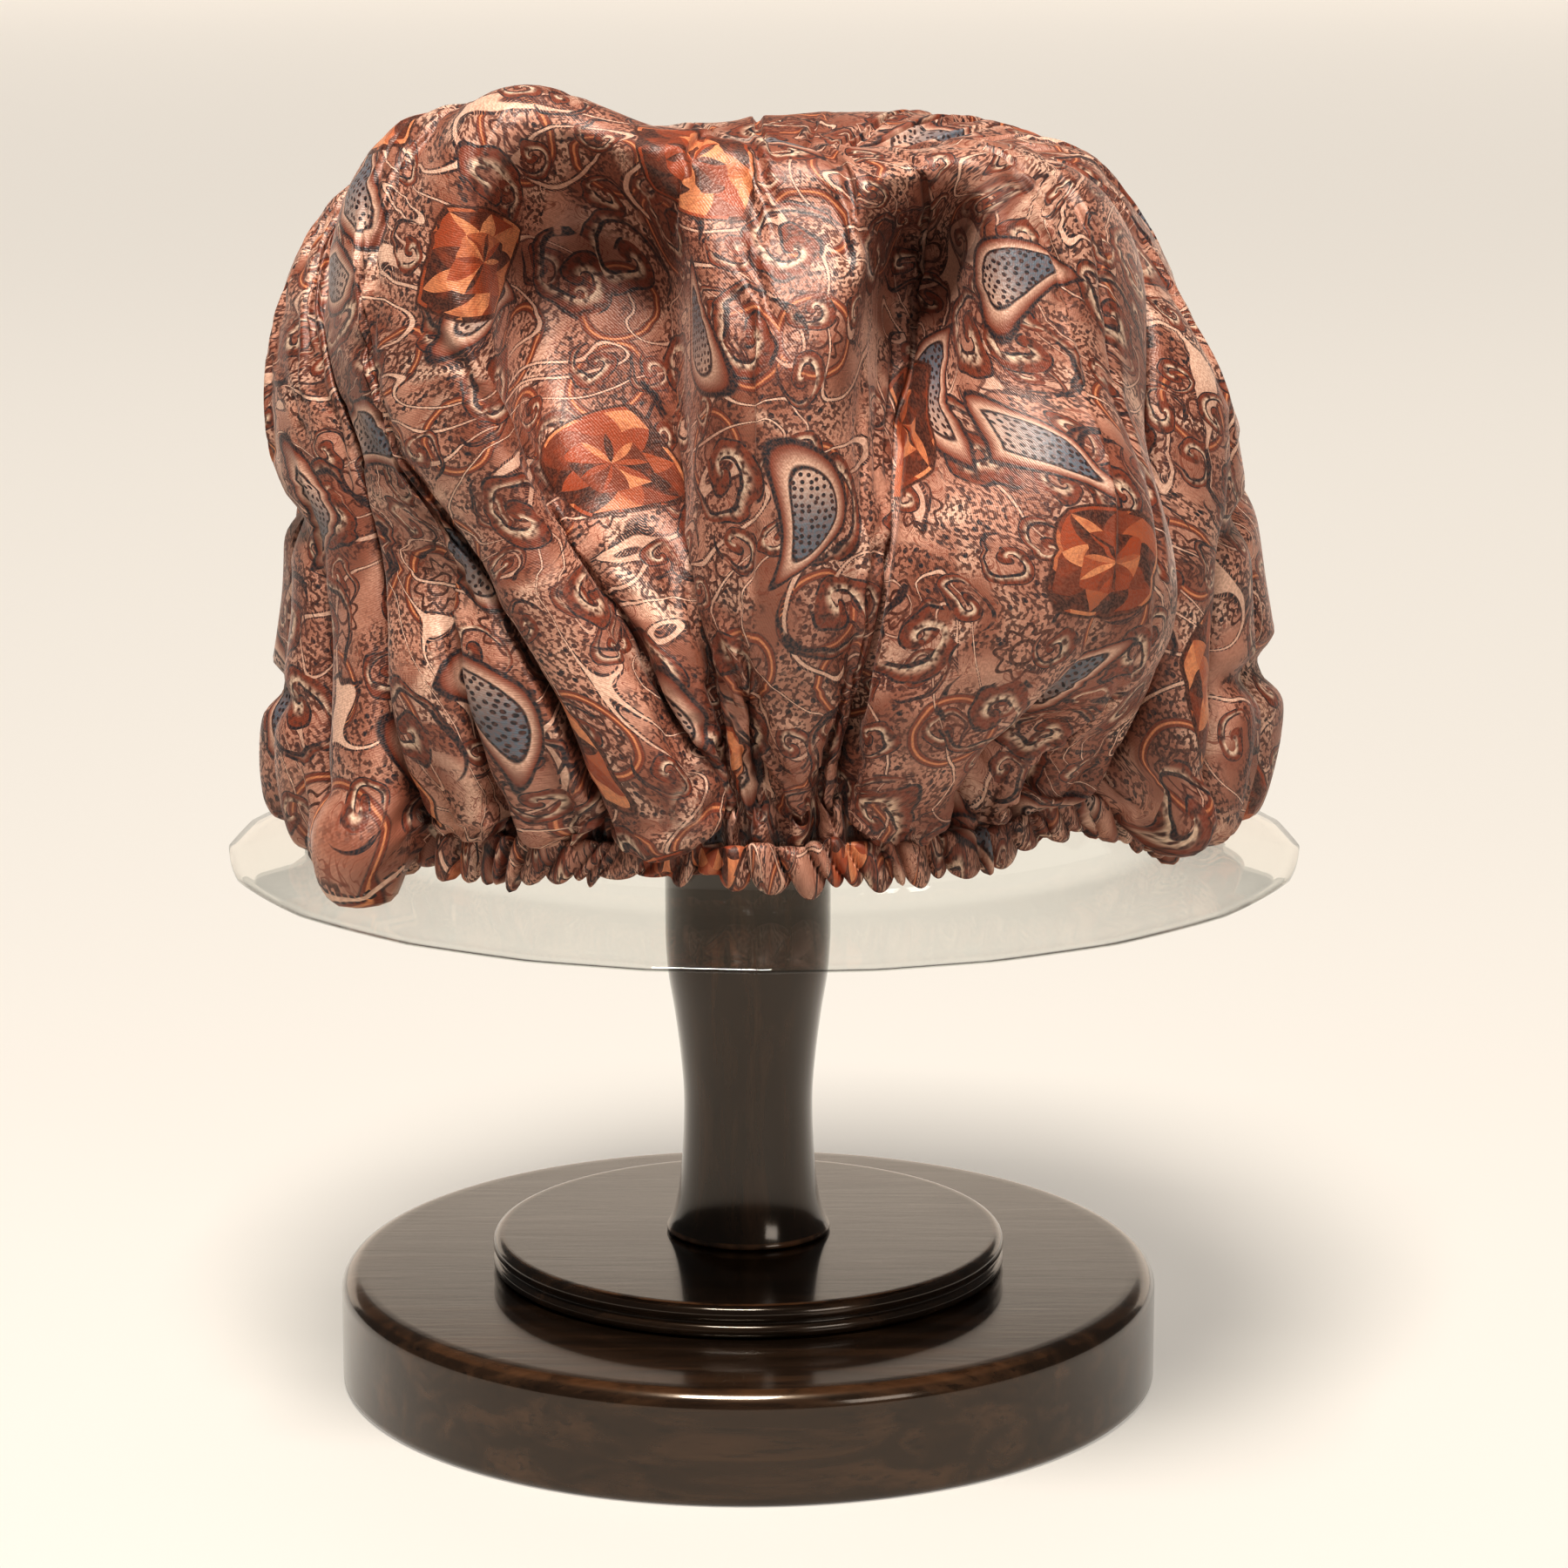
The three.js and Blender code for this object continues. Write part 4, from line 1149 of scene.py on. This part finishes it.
def coordinates(tree):
    return Field(tree, tree.nodes.new("ShaderNodeTexCoord").outputs["Object"])


def bump(tree, shader, height, strength, distance):
    node = tree.nodes.new("ShaderNodeBump")
    node.inputs["Strength"].default_value = strength
    node.inputs["Distance"].default_value = distance
    plug(tree, height, node.inputs["Height"])
    tree.links.new(node.outputs[0], shader.inputs["Normal"])


def printed_silk():
    """Satin with a fine twill line, under the print."""
    material, tree, shader = new_material("printed_silk")
    chart = tree.nodes.new("ShaderNodeUVMap")
    chart.uv_map = CHART
    cloth = Field(tree, chart.outputs[0])
    threads = noise(cloth, THREAD_SIZE, 1.0)
    colour = (threads.between(0.62, 0.38) * 0.30).paint(printed_colour(cloth), DUSKY)
    plug(tree, colour, shader.inputs["Base Color"])
    plug(tree, threads * 0.30 + SILK_ROUGHNESS, shader.inputs["Roughness"])
    shader.inputs["Specular IOR Level"].default_value = 0.85
    shader.inputs["Specular Tint"].default_value = SILK_GLOSS_TINT
    shader.inputs["Sheen Weight"].default_value = 0.20
    shader.inputs["Sheen Roughness"].default_value = 0.35
    shader.inputs["Sheen Tint"].default_value = (1, 0.85, 0.78, 1)
    across, along, _ = parts_of(cloth)
    twill = ((across + along * 0.6) * (2 * math.pi / TWILL_SPACING)).sine()
    slubs = noise(vector_math("MULTIPLY", cloth, (1.0, 6.0, 1.0)), 0.004, 1.0)
    bump(tree, shader, twill * 0.4 + threads * 3.0 + slubs, 0.22, 0.0002)
    return material


def dark_wood(name, stretch, edge_highlight):
    """Stained and varnished wood. stretch draws the grain out, and the last argument says where a highlight
    is painted along its edges.
    """
    material, tree, shader = new_material(name)
    place = coordinates(tree)
    grain_place = vector_math("MULTIPLY", place, stretch)
    grain = noise_3d(grain_place, GRAIN_SIZE, 6.0, 0.6)
    fine = noise_3d(grain_place, PORE_SIZE, 3.0, 0.2)
    colour = grain.between(0.40, 0.80).paint(WOOD_DARK, WOOD_BROWN)
    colour = (fine.between(0.55, 0.70) * 0.5).paint(colour, WOOD_PORE)
    # Painted highlight: the lighter colour laid in a broken band along the edges
    highlight_band = edge_highlight(place) * noise_3d(place, EDGE_HIGHLIGHT_PATCH, 3.0).between(0.34, 0.56)
    colour = highlight_band.paint(colour, WOOD_EDGE_HIGHLIGHT)
    plug(tree, colour, shader.inputs["Base Color"])
    smear = noise_3d(place, SMEAR_SIZE, 4.0)
    plug(tree, smear * 0.12 + grain * 0.08 + VARNISH_ROUGHNESS, shader.inputs["Roughness"])
    shader.inputs["Specular Tint"].default_value = VARNISH_TINT
    shader.inputs["Coat Weight"].default_value = 0.75
    shader.inputs["Coat Roughness"].default_value = VARNISH_ROUGHNESS
    bump(tree, shader, grain + fine * 0.4, 0.10, 0.0004)
    return material


# Painted highlight on the plate: a band round its upper rounded edge
def plate_edge_highlight(place):
    x, y, z = parts_of(place)
    edge = outline(radius_of(x, y), BASE_RADIUS - BASE_EDGE_ROUND * 0.6, 0.0016)
    return edge * z.between(0.02, 0.024) * 0.25


# Painted highlight on the tier: a ring at the edge of its flat top
def tier_edge_highlight(place):
    x, y, z = parts_of(place)
    edge = outline(radius_of(x, y), TIER_FLAT_RADIUS, 0.0008)
    return edge * z.between(tier_high.z - 0.002, tier_high.z - 0.001)


# Painted highlight on the post: a ring just above its foot
def post_foot_highlight(place):
    return outline(parts_of(place)[2], post_low.z + 0.0008, 0.0009)


def clear_plastic():
    """Clear sheet: see-through, with a mirror that grows towards grazing angles."""
    material, tree, shader = new_material("clear_plastic")
    through = tree.nodes.new("ShaderNodeBsdfTransparent")
    through.inputs["Color"].default_value = (*PLASTIC_TINT, 1)
    mirror = tree.nodes.new("ShaderNodeBsdfGlossy")
    mirror.inputs["Roughness"].default_value = PLASTIC_ROUGHNESS
    facing = tree.nodes.new("ShaderNodeLayerWeight")
    facing.inputs["Blend"].default_value = 0.5
    mirrored = Field(tree, facing.outputs["Facing"]) ** 5.0 * (1 - PLASTIC_MIRROR) + PLASTIC_MIRROR
    mix = tree.nodes.new("ShaderNodeMixShader")
    plug(tree, mirrored, mix.inputs[0])
    tree.links.new(through.outputs[0], mix.inputs[1])
    tree.links.new(mirror.outputs[0], mix.inputs[2])
    tree.links.new(mix.outputs[0], tree.nodes["Material Output"].inputs["Surface"])
    tree.nodes.remove(shader)
    return material


def floor_finish():
    material, _, shader = new_material("pale_floor")
    shader.inputs["Base Color"].default_value = (*FLOOR_COLOUR, 1)
    shader.inputs["Roughness"].default_value = 0.7
    shader.inputs["Emission Color"].default_value = (*BACKGROUND_COLOUR, 1)
    shader.inputs["Emission Strength"].default_value = FLOOR_GLOW
    return material


def finish_piece(piece, material, slot, *nodes):
    piece.data.materials.append(material)
    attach(piece, "root")
    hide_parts(*nodes)


# Camera, light and floor

def add_camera():
    data = bpy.data.cameras.new("camera")
    data.lens = CAMERA_LENS
    data.sensor_width = SENSOR_WIDTH
    data.clip_end = 30
    camera = bpy.data.objects.new("camera", data)
    camera.location = CAMERA_AT
    camera.rotation_euler = (math.radians(90 - CAMERA_DOWN), 0, 0)
    bpy.context.scene.collection.objects.link(camera)
    bpy.context.scene.camera = camera


def add_light(row):
    data = bpy.data.lights.new(row.name, "AREA")
    data.shape = "RECTANGLE"
    data.size, data.size_y = row.size
    data.spread = math.radians(row.spread)
    data.energy = row.power
    data.color = row.colour
    light = bpy.data.objects.new(row.name, data)
    light.location = row.at
    light.rotation_euler = (Vector(row.target) - Vector(row.at)).to_track_quat("-Z", "Y").to_euler()
    bpy.context.scene.collection.objects.link(light)


def add_studio():
    for row in LIGHTS:
        add_light(row)
    world = bpy.data.worlds.new("studio")
    world.use_nodes = True
    background = world.node_tree.nodes["Background"]
    background.inputs["Color"].default_value = (*BACKGROUND_COLOUR, 1)
    background.inputs["Strength"].default_value = WORLD_STRENGTH
    scene = bpy.context.scene
    scene.world = world
    scene.view_settings.view_transform = "Standard"
    scene.view_settings.gamma = TONE_GAMMA
    scene.view_settings.exposure = TONE_EXPOSURE
    corners = [(-1, -1), (1, -1), (1, 1), (-1, 1)]
    points = [(FLOOR_REACH * x, FLOOR_REACH * y, 0) for x, y in corners]
    floor = mesh_object("floor", points, [(0, 1, 2, 3)])
    floor.data.materials.append(floor_finish())


add_camera()
add_studio()

silk = printed_silk()
turned_wood = dark_wood("turned_wood", (1, 1, 0.12), post_foot_highlight)
finish_piece(base_plate(), dark_wood("plate_wood", (0.10, 1, 1), plate_edge_highlight), "wood", "base_plate")
finish_piece(base_tier(), dark_wood("tier_wood", (0.10, 1, 1), tier_edge_highlight), "wood", "base_tier")
finish_piece(post(), turned_wood, "wood", "post")
finish_piece(former(), clear_plastic(), "clear_plastic", "clear_former")
bonnet = crown()
finish_piece(bonnet, silk, "silk", "silk_crown")
frill = hem()
finish_piece(frill, silk, "silk_hem", "hem_casing")
